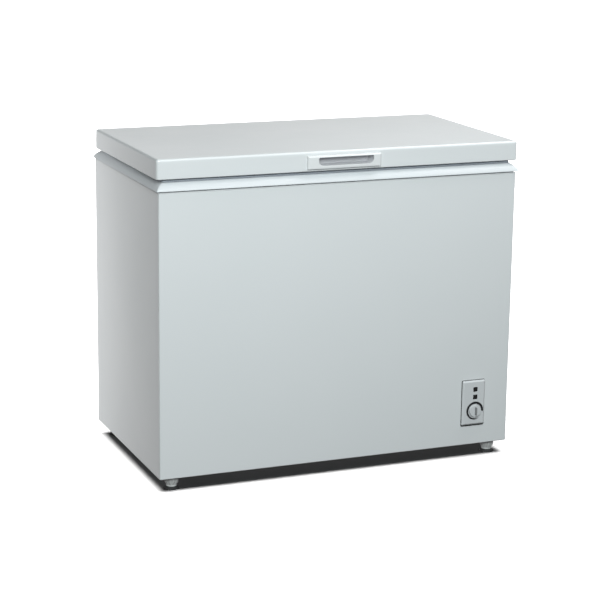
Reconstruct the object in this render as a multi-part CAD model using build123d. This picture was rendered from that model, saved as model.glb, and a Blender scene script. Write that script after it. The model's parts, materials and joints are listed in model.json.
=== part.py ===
from build123d import *
import os

# Chest freezer, about 215 litres. Millimetres, +Z up, +Y to the back, front faces -Y.
# The origin is on the floor, under the middle of the cabinet.

# Cabinet
WIDTH = 980.0
DEPTH = 545.0
HEIGHT = 850.0
FOOT_HEIGHT = 35.0
SHEET = 0.8
INSULATION = 60.0
X_SIDE = WIDTH / 2
Y_SIDE = DEPTH / 2
WRAP_TOP = 768.0
WRAP_CORNER_RADIUS = 4.0
TOP_FLANGE = 12.0
BOTTOM_FLANGE = 14.0
REAR_FLANGE = 16.0
BACK_INNER = Y_SIDE - SHEET
PAN_Z = 55.0
FOAM_TOP = WRAP_TOP - SHEET

# Compressor compartment, at the right end
BAY_X = 240.0
BAY_TOP = 262.0
TRAY_THICKNESS = 1.5
COMPRESSOR_X = 350.0
COMPRESSOR_Y = 60.0
COMPRESSOR_RADIUS = 70.0
COMPRESSOR_FOOT_X = 55.0
COMPRESSOR_FOOT_Y = 90.0
COMPRESSOR_PLATE_Z = 70.0

# Tub
LINER = 0.6
TUB_X = X_SIDE - INSULATION
TUB_Y = Y_SIDE - INSULATION
TUB_FLOOR = PAN_Z + SHEET + INSULATION
STEP_X = BAY_X - INSULATION
STEP_TOP = BAY_TOP + INSULATION
TUB_CORNER_RADIUS = 14.0
LINER_FLANGE = 11.0
FOAM_GAP = 0.2

# Refrigerant tubes
TUBE_RADIUS = 4.0
COIL_TURNS = 7
COIL_FIRST_Z = 360.0
COIL_PITCH = 58.0
COIL_RISER_X = 300.0
CONDENSER_Y = 262.0
CONDENSER_X = 400.0
CONDENSER_FIRST_Z = 330.0
CONDENSER_PITCH = 50.0
CONDENSER_RUNS = 8
CONDENSER_RETURN_X = 430.0
CONDENSER_RECESS_TOP = 762.0
TAIL_Z = 240.0

# Collar: heights and offsets from the cabinet's faces
COLLAR_TOP = 791.0
COLLAR_TIP = 6.0
COLLAR_TIP_Z = 771.6
COLLAR_BEVEL_TOP = -13.3
COLLAR_FLAT_END = -50.0
LEDGE_Z = 776.0
LEDGE_START = -54.0
LIP_OUTER = -60.8
LIP_INNER = -62.8
LIP_BOTTOM = 757.0
MITRE_REACH = 12.0
MITRE_DEPTH = 80.0

# Lid
LID_X = 494.0
LID_FRONT = -269.5
LID_REAR = 258.5
LID_BOTTOM = 800.0
LID_EDGE_RADIUS = 7.0
LID_CORNER_RADIUS = 8.0
LID_FLANGE = 10.0
LID_PANEL = 1.5
PLUG_X = 414.0
PLUG_Y = 196.0
PLUG_BOTTOM = 789.0
GASKET_WIDTH = 22.0
GASKET_BOTTOM = COLLAR_TOP + 0.2

# Lid handle: a bezel on the lid's front with a finger recess
HANDLE_LEFT = -100.0
HANDLE_RIGHT = 102.0
HANDLE_BOTTOM = 805.0
HANDLE_TOP = 839.0
HANDLE_FRONT = -277.0
RECESS_LEFT = -70.0
RECESS_RIGHT = 80.0
RECESS_BOTTOM = 813.6
RECESS_TOP = 834.0
RECESS_BACK = -246.0
CUP_WALL = 2.5

# Hinges
HINGE_X = 330.0
PIN_Y = 283.0
PIN_Z = 798.0
PIN_RADIUS = 3.0
PIN_CLEARANCE = 0.05
HINGE_PLATE = 2.0
HINGE_EAR = 3.0
SCREW_RADIUS = 2.0
SCREW_HEAD_RADIUS = 4.5
SCREW_HEAD = 2.4
SCREW_CLEARANCE = 0.1
BASE_SCREW_X = 20.0
BASE_SCREW_Z = (705.0, 752.0)
LEAF_SCREW_X = 16.0
LEAF_SCREW_Z = (816.0, 834.0)
LEAF_SCREW_LENGTH = 14.0

# Controls
COVER_LEFT = 353.0
COVER_RIGHT = 419.0
COVER_BOTTOM = 91.0
COVER_TOP = 213.0
COVER_PROUD = 7.5
COVER_RIM = 5.0
DIAL_X = 389.5
DIAL_Z = 130.0
KNOB_RADIUS = 17.0
WINDOW_Z = (168.0, 189.0)
WINDOW_SIDE = 12.5

# Feet
FOOT_X = 449.0
FOOT_Y = 240.0
SOLE_RADIUS = 20.0
SOLE_HEIGHT = 8.0
CUP_TOP_RADIUS = 18.0
CUP_BOTTOM_RADIUS = 12.5
STUD_RADIUS = 4.9
STUD_CLEARANCE = 0.3
RAIL_WIDTH = 50.0
RAIL_SHEET = 2.0

# Side grille and rear cover
GRILLE_Y = 60.0
GRILLE_Z = 150.0
GRILLE_LENGTH = 180.0
GRILLE_HEIGHT = 130.0
REAR_COVER_X = (246.0, 478.0)
REAR_COVER_Z = (60.0, 250.0)
GLAND_X = 285.0
GLAND_Z = 84.0

# Basket
BASKET_LEFT = 158.0
BASKET_RIGHT = 418.0
BASKET_RIM_Y = 214.5
BASKET_RIM_Z = LEDGE_Z + 2.8
BASKET_BOTTOM = 590.0
BASKET_TAPER = 8.0
BASKET_WIRE = 1.7
BASKET_RIM_WIRE = 2.5
BASKET_NECK_Y = 200.0
BASKET_FLOOR_Y = 192.0


def block(x_range, y_range, z_range):
    """A box between the given limits."""
    low = (x_range[0], y_range[0], z_range[0])
    high = (x_range[1], y_range[1], z_range[1])
    size = [b - a for a, b in zip(low, high)]
    centre = [(a + b) / 2 for a, b in zip(low, high)]
    return Pos(*centre) * Box(*size)


def rounded_block(x_range, y_range, z_range, radius):
    """A box whose four upright edges are rounded."""
    plan = RectangleRounded(x_range[1] - x_range[0], y_range[1] - y_range[0], radius)
    centre = ((x_range[0] + x_range[1]) / 2, (y_range[0] + y_range[1]) / 2, z_range[0])
    return Pos(*centre) * extrude(plan, amount=z_range[1] - z_range[0])


def rod_y(x, z, y_range, radius):
    """A round rod lying along Y."""
    length = y_range[1] - y_range[0]
    return Pos(x, (y_range[0] + y_range[1]) / 2, z) * Rot(90, 0, 0) * Cylinder(radius, length)


def rod_x(y, z, x_range, radius):
    """A round rod lying along X."""
    length = x_range[1] - x_range[0]
    return Pos((x_range[0] + x_range[1]) / 2, y, z) * Rot(0, 90, 0) * Cylinder(radius, length)


def rod_z(x, y, z_range, radius):
    """An upright round rod."""
    length = z_range[1] - z_range[0]
    return Pos(x, y, (z_range[0] + z_range[1]) / 2) * Cylinder(radius, length)


def tube(points, radius, bend, closed=False):
    """A round bar along straight runs joined by arcs."""
    path = FilletPolyline(*points, radius=bend, close=closed)
    section = Plane(origin=path @ 0, z_dir=path % 0) * Circle(radius)
    return sweep(section, path=path)


def outline_prism(points, z_range):
    """An upright prism with the given plan."""
    face = make_face(Polyline(*points, close=True))
    return Pos(0, 0, z_range[0]) * extrude(face, amount=z_range[1] - z_range[0], dir=(0, 0, 1))


# Cabinet


def wrap_volume(inset):
    """The cabinet's front and sides as one volume, inset from the outer faces."""
    solid = block(
        (-X_SIDE + inset, X_SIDE - inset),
        (-Y_SIDE + inset, BACK_INNER - inset),
        (FOOT_HEIGHT + inset, WRAP_TOP - inset),
    )
    front_edges = solid.edges().filter_by(Axis.Z).sort_by(Axis.Y)[:2]
    return fillet(front_edges, WRAP_CORNER_RADIUS - inset)


def control_hole():
    """The hole in the front that takes the control cover's rim."""
    return block(
        (COVER_LEFT + COVER_RIM, COVER_RIGHT - COVER_RIM),
        (-Y_SIDE - 1, -Y_SIDE + 5),
        (COVER_BOTTOM + COVER_RIM, COVER_TOP - COVER_RIM),
    )


def cabinet_wrap():
    """Folded sheet: the front, both sides, and return flanges at the top, bottom and rear."""
    shell = wrap_volume(0) - wrap_volume(SHEET)
    top_window = block(
        (-X_SIDE + TOP_FLANGE, X_SIDE - TOP_FLANGE),
        (-Y_SIDE + TOP_FLANGE, Y_SIDE),
        (WRAP_TOP - 5, WRAP_TOP + 1),
    )
    bottom_window = block(
        (-X_SIDE + BOTTOM_FLANGE, X_SIDE - BOTTOM_FLANGE),
        (-Y_SIDE + BOTTOM_FLANGE, Y_SIDE),
        (FOOT_HEIGHT - 1, FOOT_HEIGHT + 5),
    )
    rear_window = block(
        (-X_SIDE + REAR_FLANGE, X_SIDE - REAR_FLANGE),
        (Y_SIDE - 5, Y_SIDE + 1),
        (FOOT_HEIGHT - 1, WRAP_TOP + 1),
    )
    grille_hole = block(
        (X_SIDE - 5, X_SIDE + 1),
        (GRILLE_Y - GRILLE_LENGTH / 2 + COVER_RIM, GRILLE_Y + GRILLE_LENGTH / 2 - COVER_RIM),
        (GRILLE_Z - GRILLE_HEIGHT / 2 + COVER_RIM, GRILLE_Z + GRILLE_HEIGHT / 2 - COVER_RIM),
    )
    return shell - top_window - bottom_window - rear_window - control_hole() - grille_hole


def hinge_screw_places(half_spacing, heights):
    """X and Z of the screws of both hinges' bases, or of both leaves."""
    return [
        (side * HINGE_X + offset, z)
        for side in (-1, 1)
        for offset in (-half_spacing, half_spacing)
        for z in heights
    ]


def base_screw_places():
    """X and Z of every hinge base screw."""
    return hinge_screw_places(BASE_SCREW_X, BASE_SCREW_Z)


def cover_screw_places():
    """X and Z of every rear cover screw."""
    inset = 8.0
    return [
        (x, z)
        for x in (REAR_COVER_X[0] + inset, REAR_COVER_X[1] - inset)
        for z in (REAR_COVER_Z[0] + inset, REAR_COVER_Z[1] - inset)
    ]


def back_panel():
    """Flat rear sheet with the compressor opening and the screw holes."""
    panel = block((-X_SIDE, X_SIDE), (BACK_INNER, Y_SIDE), (FOOT_HEIGHT, WRAP_TOP))
    margin = 16.0
    panel -= block(
        (REAR_COVER_X[0] + margin, REAR_COVER_X[1] - margin),
        (BACK_INNER - 1, Y_SIDE + 1),
        (REAR_COVER_Z[0] + margin, REAR_COVER_Z[1] - margin),
    )
    for x, z in base_screw_places() + cover_screw_places():
        panel -= rod_y(x, z, (BACK_INNER - 1, Y_SIDE + 1), SCREW_RADIUS + SCREW_CLEARANCE)
    return panel


def flat_sheet(x_range, z_range):
    """A level sheet that fills the wrap from front to back, with its corner at the wrap's bend rounded."""
    sheet = block(x_range, (-Y_SIDE + SHEET, BACK_INNER - SHEET), z_range)
    outward = sheet.edges().filter_by(Axis.Z).sort_by(Axis.Y)[:2].sort_by(Axis.X)
    return fillet(outward[0] if x_range[0] < 0 else outward[-1], WRAP_CORNER_RADIUS)


def base_pan():
    """Underside of the insulated part."""
    return flat_sheet((-X_SIDE + SHEET, BAY_X), (PAN_Z, PAN_Z + SHEET))


def compartment_liner():
    """Folded sheet that parts the insulation from the compressor compartment."""
    depth = (-Y_SIDE + SHEET, BACK_INNER - SHEET)
    wall = block((BAY_X, BAY_X + SHEET), depth, (PAN_Z, BAY_TOP))
    roof = flat_sheet((BAY_X, X_SIDE - SHEET), (BAY_TOP - SHEET, BAY_TOP))
    return wall + roof - refrigerant_tails(1.0)


def refrigerant_tails(clearance):
    """Upright stretches of the refrigerant tubes, where they pass the compartment's roof."""
    radius = TUBE_RADIUS + clearance
    coil_y = TUB_Y + FOAM_GAP + TUBE_RADIUS + 0.3
    tails = rod_z(COIL_RISER_X, coil_y, (TAIL_Z, COIL_FIRST_Z), radius)
    tails += rod_z(CONDENSER_X, CONDENSER_Y, (TAIL_Z, CONDENSER_FIRST_Z), radius)
    tails += rod_z(CONDENSER_RETURN_X, CONDENSER_Y, (TAIL_Z, CONDENSER_FIRST_Z), radius)
    return tails


def compressor_tray():
    """Floor of the compressor compartment, drilled for the compressor's bolts."""
    tray = flat_sheet((BAY_X + SHEET, X_SIDE - SHEET), (PAN_Z, PAN_Z + TRAY_THICKNESS))
    for x, y in compressor_feet():
        tray -= rod_z(x, y, (PAN_Z - 1, PAN_Z + 5), 3.2)
    return tray


def foot_rail(side):
    """Channel across the underside, with a welded nut for each foot's stud."""
    middle = side * FOOT_X
    rear = BACK_INNER - REAR_FLANGE
    y_range = (-Y_SIDE + BOTTOM_FLANGE + 0.5, rear)
    outer = block((middle - RAIL_WIDTH / 2, middle + RAIL_WIDTH / 2), y_range, (FOOT_HEIGHT, PAN_Z))
    inner = block(
        (middle - RAIL_WIDTH / 2 + RAIL_SHEET, middle + RAIL_WIDTH / 2 - RAIL_SHEET),
        (y_range[0] - 1, y_range[1] + 1),
        (FOOT_HEIGHT + RAIL_SHEET, PAN_Z + 1),
    )
    rail = outer - inner
    for y in (-FOOT_Y, FOOT_Y):
        nut = extrude(RegularPolygon(9.0, 6), amount=8.0)
        rail += Pos(middle, y, FOOT_HEIGHT + RAIL_SHEET) * nut
        rail -= rod_z(middle, y, (FOOT_HEIGHT - 1, PAN_Z), STUD_RADIUS + STUD_CLEARANCE)
    return rail


def tub_volume(grow):
    """The tub's outside, grown by an offset: a deep part, and the part over the compressor."""
    radius = TUB_CORNER_RADIUS + grow
    y_range = (-TUB_Y - grow, TUB_Y + grow)
    deep = rounded_block((-TUB_X - grow, STEP_X + grow), y_range, (TUB_FLOOR - grow, STEP_TOP + 60), radius)
    upper = rounded_block((-TUB_X - grow, TUB_X + grow), y_range, (STEP_TOP - grow, WRAP_TOP), radius)
    return deep + upper


def cabinet_foam():
    """Insulation: fills the walls, with grooves for the evaporator and a recess for the condenser."""
    foam = block(
        (-X_SIDE + SHEET, X_SIDE - SHEET),
        (-Y_SIDE + SHEET, BACK_INNER - SHEET),
        (PAN_Z + SHEET, FOAM_TOP),
    )
    front_edges = foam.edges().filter_by(Axis.Z).sort_by(Axis.Y)[:2]
    foam = fillet(front_edges, WRAP_CORNER_RADIUS)
    foam -= block((BAY_X, X_SIDE), (-Y_SIDE, Y_SIDE), (PAN_Z, BAY_TOP))
    foam -= tub_volume(FOAM_GAP)
    reach = FOAM_GAP + 2 * TUBE_RADIUS + 1.0
    half = TUBE_RADIUS + 0.6
    for turn in range(COIL_TURNS):
        z = COIL_FIRST_Z + turn * COIL_PITCH
        foam -= rounded_block(
            (-TUB_X - reach, TUB_X + reach), (-TUB_Y - reach, TUB_Y + reach), (z - half, z + half), 20.0
        )
    foam -= block(
        (-COIL_RISER_X - 20, COIL_RISER_X + 20),
        (TUB_Y - 10, TUB_Y + reach),
        (COIL_FIRST_Z - 20, COIL_FIRST_Z + (COIL_TURNS - 1) * COIL_PITCH + half),
    )
    foam -= block(
        (-CONDENSER_X - 40, CONDENSER_X + 40),
        (CONDENSER_Y - TUBE_RADIUS - 0.5, Y_SIDE),
        (CONDENSER_FIRST_Z - 10, CONDENSER_RECESS_TOP),
    )
    return foam - refrigerant_tails(1.0)


def inner_liner():
    """Thin aluminium tub with its step, and a flange at the mouth."""
    liner = tub_volume(0)
    flange = rounded_block(
        (-TUB_X - LINER_FLANGE, TUB_X + LINER_FLANGE),
        (-TUB_Y - LINER_FLANGE, TUB_Y + LINER_FLANGE),
        (WRAP_TOP - LINER, WRAP_TOP),
        TUB_CORNER_RADIUS + LINER_FLANGE,
    )
    mouth = rounded_block(
        (-TUB_X + LINER, TUB_X - LINER),
        (-TUB_Y + LINER, TUB_Y - LINER),
        (WRAP_TOP - 5, WRAP_TOP + 1),
        TUB_CORNER_RADIUS - LINER,
    )
    return liner + flange - tub_volume(-LINER) - mouth


def evaporator_coil():
    """One tube wound round the tub, climbing across its rear wall."""
    x = TUB_X + FOAM_GAP + TUBE_RADIUS + 0.3
    y = TUB_Y + FOAM_GAP + TUBE_RADIUS + 0.3
    points = [(COIL_RISER_X, y, TAIL_Z)]
    for turn in range(COIL_TURNS):
        z = COIL_FIRST_Z + turn * COIL_PITCH
        corners = [(COIL_RISER_X, y), (x, y), (x, -y), (-x, -y), (-x, y), (-COIL_RISER_X, y)]
        points += [(corner_x, corner_y, z) for corner_x, corner_y in corners]
    return tube(points, TUBE_RADIUS, 14.0)


def condenser_coil():
    """Zigzag tube behind the back panel, with both ends brought down into the compartment."""
    points = [(CONDENSER_X, CONDENSER_Y, TAIL_Z)]
    for run in range(CONDENSER_RUNS):
        z = CONDENSER_FIRST_Z + run * CONDENSER_PITCH
        start = CONDENSER_X if run % 2 == 0 else -CONDENSER_X
        points += [(start, CONDENSER_Y, z), (-start, CONDENSER_Y, z)]
    points[-1] = (CONDENSER_RETURN_X, CONDENSER_Y, points[-1][2])
    points.append((CONDENSER_RETURN_X, CONDENSER_Y, TAIL_Z))
    return tube(points, TUBE_RADIUS, 12.0)


def collar_section(has_tip):
    """The collar's section as points (offset from the cabinet's face, height)."""
    if has_tip:
        bevel = [
            ThreePointArc((COLLAR_BEVEL_TOP, COLLAR_TOP), (-2.6, 783.6), (5.0, 774.2)),
            Polyline((5.0, 774.2), (COLLAR_TIP, COLLAR_TIP_Z), (3.6, COLLAR_TIP_Z)),
            Polyline((3.6, COLLAR_TIP_Z), (3.2, 774.4), (-5.0, 778.0)),
        ]
        start = (-5.0, 778.0)
    else:
        bevel = [Polyline((COLLAR_BEVEL_TOP, COLLAR_TOP), (0, 779.0), (0, WRAP_TOP + 2))]
        start = (0, WRAP_TOP + 2)
    rest = Polyline(
        start,
        (start[0], WRAP_TOP),
        (LIP_INNER, WRAP_TOP),
        (LIP_INNER, LEDGE_Z),
        (LEDGE_START, LEDGE_Z),
        (COLLAR_FLAT_END, COLLAR_TOP),
        (COLLAR_BEVEL_TOP, COLLAR_TOP),
    )
    return make_face(Wire([edge for line in bevel for edge in line.edges()] + list(rest.edges())))


def collar_lip():
    """The thin wall that reaches from the collar down into the tub."""
    walls = []
    for offset, radius in ((LIP_OUTER, 13.0), (LIP_INNER, 11.0)):
        x, y = X_SIDE + offset, Y_SIDE + offset
        walls.append(rounded_block((-x, x), (-y, y), (LIP_BOTTOM, WRAP_TOP), radius))
    return walls[0] - walls[1]


def mitre(side_axis, side):
    """A prism that keeps one rail's stretch of the frame."""
    out_x, out_y = X_SIDE + MITRE_REACH, Y_SIDE + MITRE_REACH
    in_x, in_y = X_SIDE - MITRE_DEPTH, Y_SIDE - MITRE_DEPTH
    if side_axis == "y":
        points = [(-out_x, side * out_y), (out_x, side * out_y), (in_x, side * in_y), (-in_x, side * in_y)]
    else:
        points = [(side * out_x, -out_y), (side * out_x, out_y), (side * in_x, in_y), (side * in_x, -in_y)]
    return outline_prism(points, (LIP_BOTTOM - 5, COLLAR_TOP + 5))


def collar_rail(side_axis, side, has_tip=True):
    """One mitred rail of the collar, with the lip that reaches down into the tub."""
    face = collar_section(has_tip)
    if side_axis == "y":
        half = X_SIDE + MITRE_REACH
        placed = Plane(origin=(0, -Y_SIDE, 0), x_dir=(0, -1, 0), z_dir=(-1, 0, 0)) * face
    else:
        half = Y_SIDE + MITRE_REACH
        placed = Plane(origin=(X_SIDE, 0, 0), x_dir=(1, 0, 0), z_dir=(0, -1, 0)) * face
    rail = extrude(placed, amount=half, both=True)
    if side_axis == "y" and side > 0:
        rail = mirror(rail, Plane.XZ)
    if side_axis == "x" and side < 0:
        rail = mirror(rail, Plane.YZ)
    whole = (rail + collar_lip()) & mitre(side_axis, side)
    if side_axis == "x":
        whole &= block((-WIDTH, WIDTH), (-DEPTH, Y_SIDE), (0, HEIGHT))
    return whole


# Compressor compartment


def compressor_feet():
    """X and Y of the compressor's four mounting holes."""
    return [
        (COMPRESSOR_X + sx * COMPRESSOR_FOOT_X, COMPRESSOR_Y + sy * COMPRESSOR_FOOT_Y)
        for sx in (-1, 1)
        for sy in (-1, 1)
    ]


def compressor():
    """Welded pot on its mounting plate."""
    place = Pos(COMPRESSOR_X, COMPRESSOR_Y, 0)
    lower = Pos(0, 0, 113) * Cylinder(COMPRESSOR_RADIUS, 80)
    lower = fillet(lower.edges().sort_by(Axis.Z)[0], 24)
    upper = Pos(0, 0, 190) * Cylinder(COMPRESSOR_RADIUS - 1.5, 76)
    upper = fillet(upper.edges().sort_by(Axis.Z)[-1], 28)
    seam = Pos(0, 0, 152) * Cylinder(COMPRESSOR_RADIUS + 3, 4)
    plate = rounded_block((-68, 68), (-105, 105), (COMPRESSOR_PLATE_Z, COMPRESSOR_PLATE_Z + 3), 10)
    body = place * (lower + upper + seam + plate)
    for x, y in compressor_feet():
        body -= rod_z(x, y, (COMPRESSOR_PLATE_Z - 1, COMPRESSOR_PLATE_Z + 4), 7.0)
    return body


def compressor_grommets():
    """Rubber mounts between the tray and the compressor's plate."""
    low = PAN_Z + TRAY_THICKNESS
    grommets = []
    for x, y in compressor_feet():
        grommet = rod_z(x, y, (low, COMPRESSOR_PLATE_Z), 11.0)
        grommet += rod_z(x, y, (low, COMPRESSOR_PLATE_Z + 5), 6.8)
        grommets.append(grommet - rod_z(x, y, (low - 1, COMPRESSOR_PLATE_Z + 6), 3.2))
    return Compound(grommets)


def compressor_bolts():
    """Bolts through the tray and the grommets, with washer heads."""
    bolts = []
    for x, y in compressor_feet():
        shank = rod_z(x, y, (PAN_Z - 2.0, COMPRESSOR_PLATE_Z + 5.2), 3.0)
        washer = rod_z(x, y, (COMPRESSOR_PLATE_Z + 5.1, COMPRESSOR_PLATE_Z + 6.6), 9.0)
        head = Pos(x, y, COMPRESSOR_PLATE_Z + 6.6) * extrude(RegularPolygon(5.5, 6), amount=4.0)
        nut = Pos(x, y, PAN_Z - 5.0) * extrude(RegularPolygon(5.5, 6), amount=4.9)
        bolts.append(shank + washer + head + nut)
    return Compound(bolts)


def compressor_relay_cover():
    """Cover over the start relay on the pot's front."""
    front = COMPRESSOR_Y - COMPRESSOR_RADIUS
    cover = block((COMPRESSOR_X - 30, COMPRESSOR_X + 30), (front - 30, front + 20), (88, 146))
    cover = fillet(cover.edges().filter_by(Axis.Z).sort_by(Axis.Y)[:2], 6)
    return cover - rod_z(COMPRESSOR_X, COMPRESSOR_Y, (60, 260), COMPRESSOR_RADIUS + 0.3)


def filter_drier():
    """Copper drier hanging from the condenser's return tube."""
    place = Pos(CONDENSER_RETURN_X, CONDENSER_Y, 0)
    body = Pos(0, 0, 180) * Cylinder(8.5, 80)
    body = chamfer(body.edges().filter_by(GeomType.CIRCLE), 4)
    necks = Pos(0, 0, (TAIL_Z + 125) / 2) * Cylinder(3.2, TAIL_Z - 125)
    return place * (body + necks)


def discharge_pipe():
    """From the pot's side to the condenser."""
    y = COMPRESSOR_Y + 20
    points = [
        (COMPRESSOR_X + COMPRESSOR_RADIUS - 3, y, 112),
        (COMPRESSOR_X + COMPRESSOR_RADIUS + 30, y, 112),
        (COMPRESSOR_X + COMPRESSOR_RADIUS + 30, 190, 140),
        (CONDENSER_X, CONDENSER_Y, 180),
        (CONDENSER_X, CONDENSER_Y, TAIL_Z),
    ]
    return tube(points, 3.2, 10.0) - compressor()


def suction_pipe():
    """From the evaporator down to the pot's other side."""
    y = COMPRESSOR_Y + 20
    coil_y = TUB_Y + FOAM_GAP + TUBE_RADIUS + 0.3
    points = [
        (COMPRESSOR_X - COMPRESSOR_RADIUS + 3, y, 112),
        (COMPRESSOR_X - COMPRESSOR_RADIUS - 18, y, 112),
        (COMPRESSOR_X - COMPRESSOR_RADIUS - 18, 170, 150),
        (COIL_RISER_X, coil_y, 190),
        (COIL_RISER_X, coil_y, TAIL_Z),
    ]
    return tube(points, TUBE_RADIUS, 10.0) - compressor()


def rear_cover():
    """Service cover over the compressor opening, with cooling slots."""
    cover = block(REAR_COVER_X, (Y_SIDE, Y_SIDE + 1.0), REAR_COVER_Z)
    slot_length = 70.0
    for column in (REAR_COVER_X[0] + 85, REAR_COVER_X[1] - 55):
        for row in range(7):
            z = REAR_COVER_Z[0] + 42 + row * 17.0
            x_range = (column - slot_length / 2, column + slot_length / 2)
            cover -= block(x_range, (Y_SIDE - 1, Y_SIDE + 2), (z - 3, z + 3))
    for x, z in cover_screw_places():
        cover -= rod_y(x, z, (Y_SIDE - 1, Y_SIDE + 2), SCREW_RADIUS + SCREW_CLEARANCE)
    return cover - rod_y(GLAND_X, GLAND_Z, (Y_SIDE - 1, Y_SIDE + 2), 8.2)


def screw_group(places, head_y, tip_y):
    """Pan-head screws along Y, each a separate solid."""
    toward_head = 1 if head_y > tip_y else -1
    screws = []
    for x, z in places:
        shank = rod_y(x, z, sorted((tip_y, head_y)), SCREW_RADIUS)
        head = rod_y(x, z, sorted((head_y, head_y + toward_head * SCREW_HEAD)), SCREW_HEAD_RADIUS)
        head = fillet(head.edges().sort_by(Axis.Y)[-1 if toward_head > 0 else 0], 1.2)
        slot_y = sorted((head_y + toward_head * 1.2, head_y + toward_head * 3))
        drive = block((x - 3, x + 3), slot_y, (z - 0.6, z + 0.6))
        screws.append(shank + head - drive)
    return Compound(screws)


def rear_cover_screws():
    """Screws that hold the rear cover."""
    return screw_group(cover_screw_places(), Y_SIDE + 1.0, Y_SIDE - 7.0)


def cord_gland():
    """Bush in the rear cover where the mains lead passes."""
    gland = rod_y(GLAND_X, GLAND_Z, (Y_SIDE + 1.0, Y_SIDE + 5.0), 12.0)
    gland = fillet(gland.edges().sort_by(Axis.Y)[-1], 1.5)
    gland += rod_y(GLAND_X, GLAND_Z, (Y_SIDE - 8.0, Y_SIDE + 1.0), 8.0)
    return gland - rod_y(GLAND_X, GLAND_Z, (Y_SIDE - 9.0, Y_SIDE + 6.0), 4.0)


def side_grille():
    """Slotted vent snapped into the right side."""
    y_low, y_high = GRILLE_Y - GRILLE_LENGTH / 2, GRILLE_Y + GRILLE_LENGTH / 2
    z_low, z_high = GRILLE_Z - GRILLE_HEIGHT / 2, GRILLE_Z + GRILLE_HEIGHT / 2
    flange = block((X_SIDE, X_SIDE + 3), (y_low, y_high), (z_low, z_high))
    flange = chamfer(flange.faces().sort_by(Axis.X)[-1].edges(), 1.5)
    inset = COVER_RIM + 0.4
    neck = block((X_SIDE - 8, X_SIDE), (y_low + inset, y_high - inset), (z_low + inset, z_high - inset))
    grille = flange + neck
    slots = 11
    pitch = (GRILLE_LENGTH - 30) / slots
    for index in range(slots):
        y = y_low + 15 + pitch * (index + 0.5)
        grille -= block((X_SIDE - 9, X_SIDE + 4), (y - 4, y + 4), (z_low + 15, z_high - 15))
    return grille


# Controls


def control_cover():
    """Moulded cover with bevelled edges, two windows and a hole for the knob's shaft."""
    face_y = -Y_SIDE - COVER_PROUD
    cover = block((COVER_LEFT, COVER_RIGHT), (face_y, -Y_SIDE), (COVER_BOTTOM, COVER_TOP))
    cover = chamfer(cover.faces().sort_by(Axis.Y)[0].edges(), 4.0)
    rim = COVER_RIM + 0.4
    plug = block(
        (COVER_LEFT + rim, COVER_RIGHT - rim),
        (-Y_SIDE, -Y_SIDE + 8),
        (COVER_BOTTOM + rim, COVER_TOP - rim),
    )
    hollow = block(
        (COVER_LEFT + rim + 2, COVER_RIGHT - rim - 2),
        (face_y + 2.5, -Y_SIDE + 9),
        (COVER_BOTTOM + rim + 2, COVER_TOP - rim - 2),
    )
    cover = cover + plug - hollow
    half = WINDOW_SIDE / 2
    for z in WINDOW_Z:
        cover -= block((DIAL_X - half, DIAL_X + half), (face_y - 1, face_y + 4), (z - half, z + half))
    return cover - rod_y(DIAL_X, DIAL_Z, (face_y - 1, face_y + 4), 5.0)


def indicator_lenses():
    """Dark windows in front of the lamps."""
    face_y = -Y_SIDE - COVER_PROUD
    half = WINDOW_SIDE / 2 - 0.1
    lenses = []
    for z in WINDOW_Z:
        window = Pos(DIAL_X, face_y, z)
        front = window * Pos(0, 1.1, 0) * Box(2 * half, 2.8, 2 * half)
        back = window * Pos(0, 3.1, 0) * Box(2 * half + 2, 1.2, 2 * half + 2)
        lenses.append(front + back)
    return Compound(lenses)


def indicator_lamps():
    """A power lamp and a run lamp behind the windows."""
    face_y = -Y_SIDE - COVER_PROUD
    return Compound([rod_y(DIAL_X, z, (face_y + 4.5, face_y + 22), 3.0) for z in WINDOW_Z])


def thermostat_body():
    """Thermostat behind the cover, with its bush."""
    face_y = -Y_SIDE - COVER_PROUD
    body = block((DIAL_X - 20, DIAL_X + 20), (-Y_SIDE + 10, -Y_SIDE + 42), (DIAL_Z - 24, DIAL_Z + 24))
    bush = rod_y(DIAL_X, DIAL_Z, (face_y + 3.5, -Y_SIDE + 10), 6.0)
    bore = rod_y(DIAL_X, DIAL_Z, (face_y, -Y_SIDE + 8), 3.1)
    return body + bush - bore


def thermostat_knob():
    """Round knob with a grip bar across its face, on its shaft."""
    face_y = -Y_SIDE - COVER_PROUD
    disc = rod_y(DIAL_X, DIAL_Z, (face_y - 5.0, face_y - 0.4), KNOB_RADIUS)
    disc = fillet(disc.edges().sort_by(Axis.Y)[0], 1.5)
    bar = block((DIAL_X - 2.5, DIAL_X + 2.5), (face_y - 11.5, face_y - 4.0), (DIAL_Z - 13.5, DIAL_Z + 13.5))
    bar = fillet(bar.edges().filter_by(Axis.Y), 2.2)
    shaft = rod_y(DIAL_X, DIAL_Z, (face_y - 1.0, -Y_SIDE + 4), 3.0)
    return disc + bar + shaft


# Lid


def lid_volume(inset, bottom, top):
    """The lid's outside, inset, with rounded upright corners and a rounded top edge."""
    solid = rounded_block(
        (-LID_X + inset, LID_X - inset),
        (LID_FRONT + inset, LID_REAR - inset),
        (bottom, top),
        LID_CORNER_RADIUS - inset,
    )
    return fillet(solid.faces().sort_by(Axis.Z)[-1].edges(), LID_EDGE_RADIUS - inset)


def handle_pocket(gap, y_range):
    """Room for the handle's cup in the lid."""
    wall = CUP_WALL + gap
    x_range = (RECESS_LEFT - wall, RECESS_RIGHT + wall)
    return block(x_range, y_range, (RECESS_BOTTOM - wall, RECESS_TOP + wall))


def leaf_screw_places():
    """X and Z of every hinge leaf screw."""
    return hinge_screw_places(LEAF_SCREW_X, LEAF_SCREW_Z)


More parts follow.
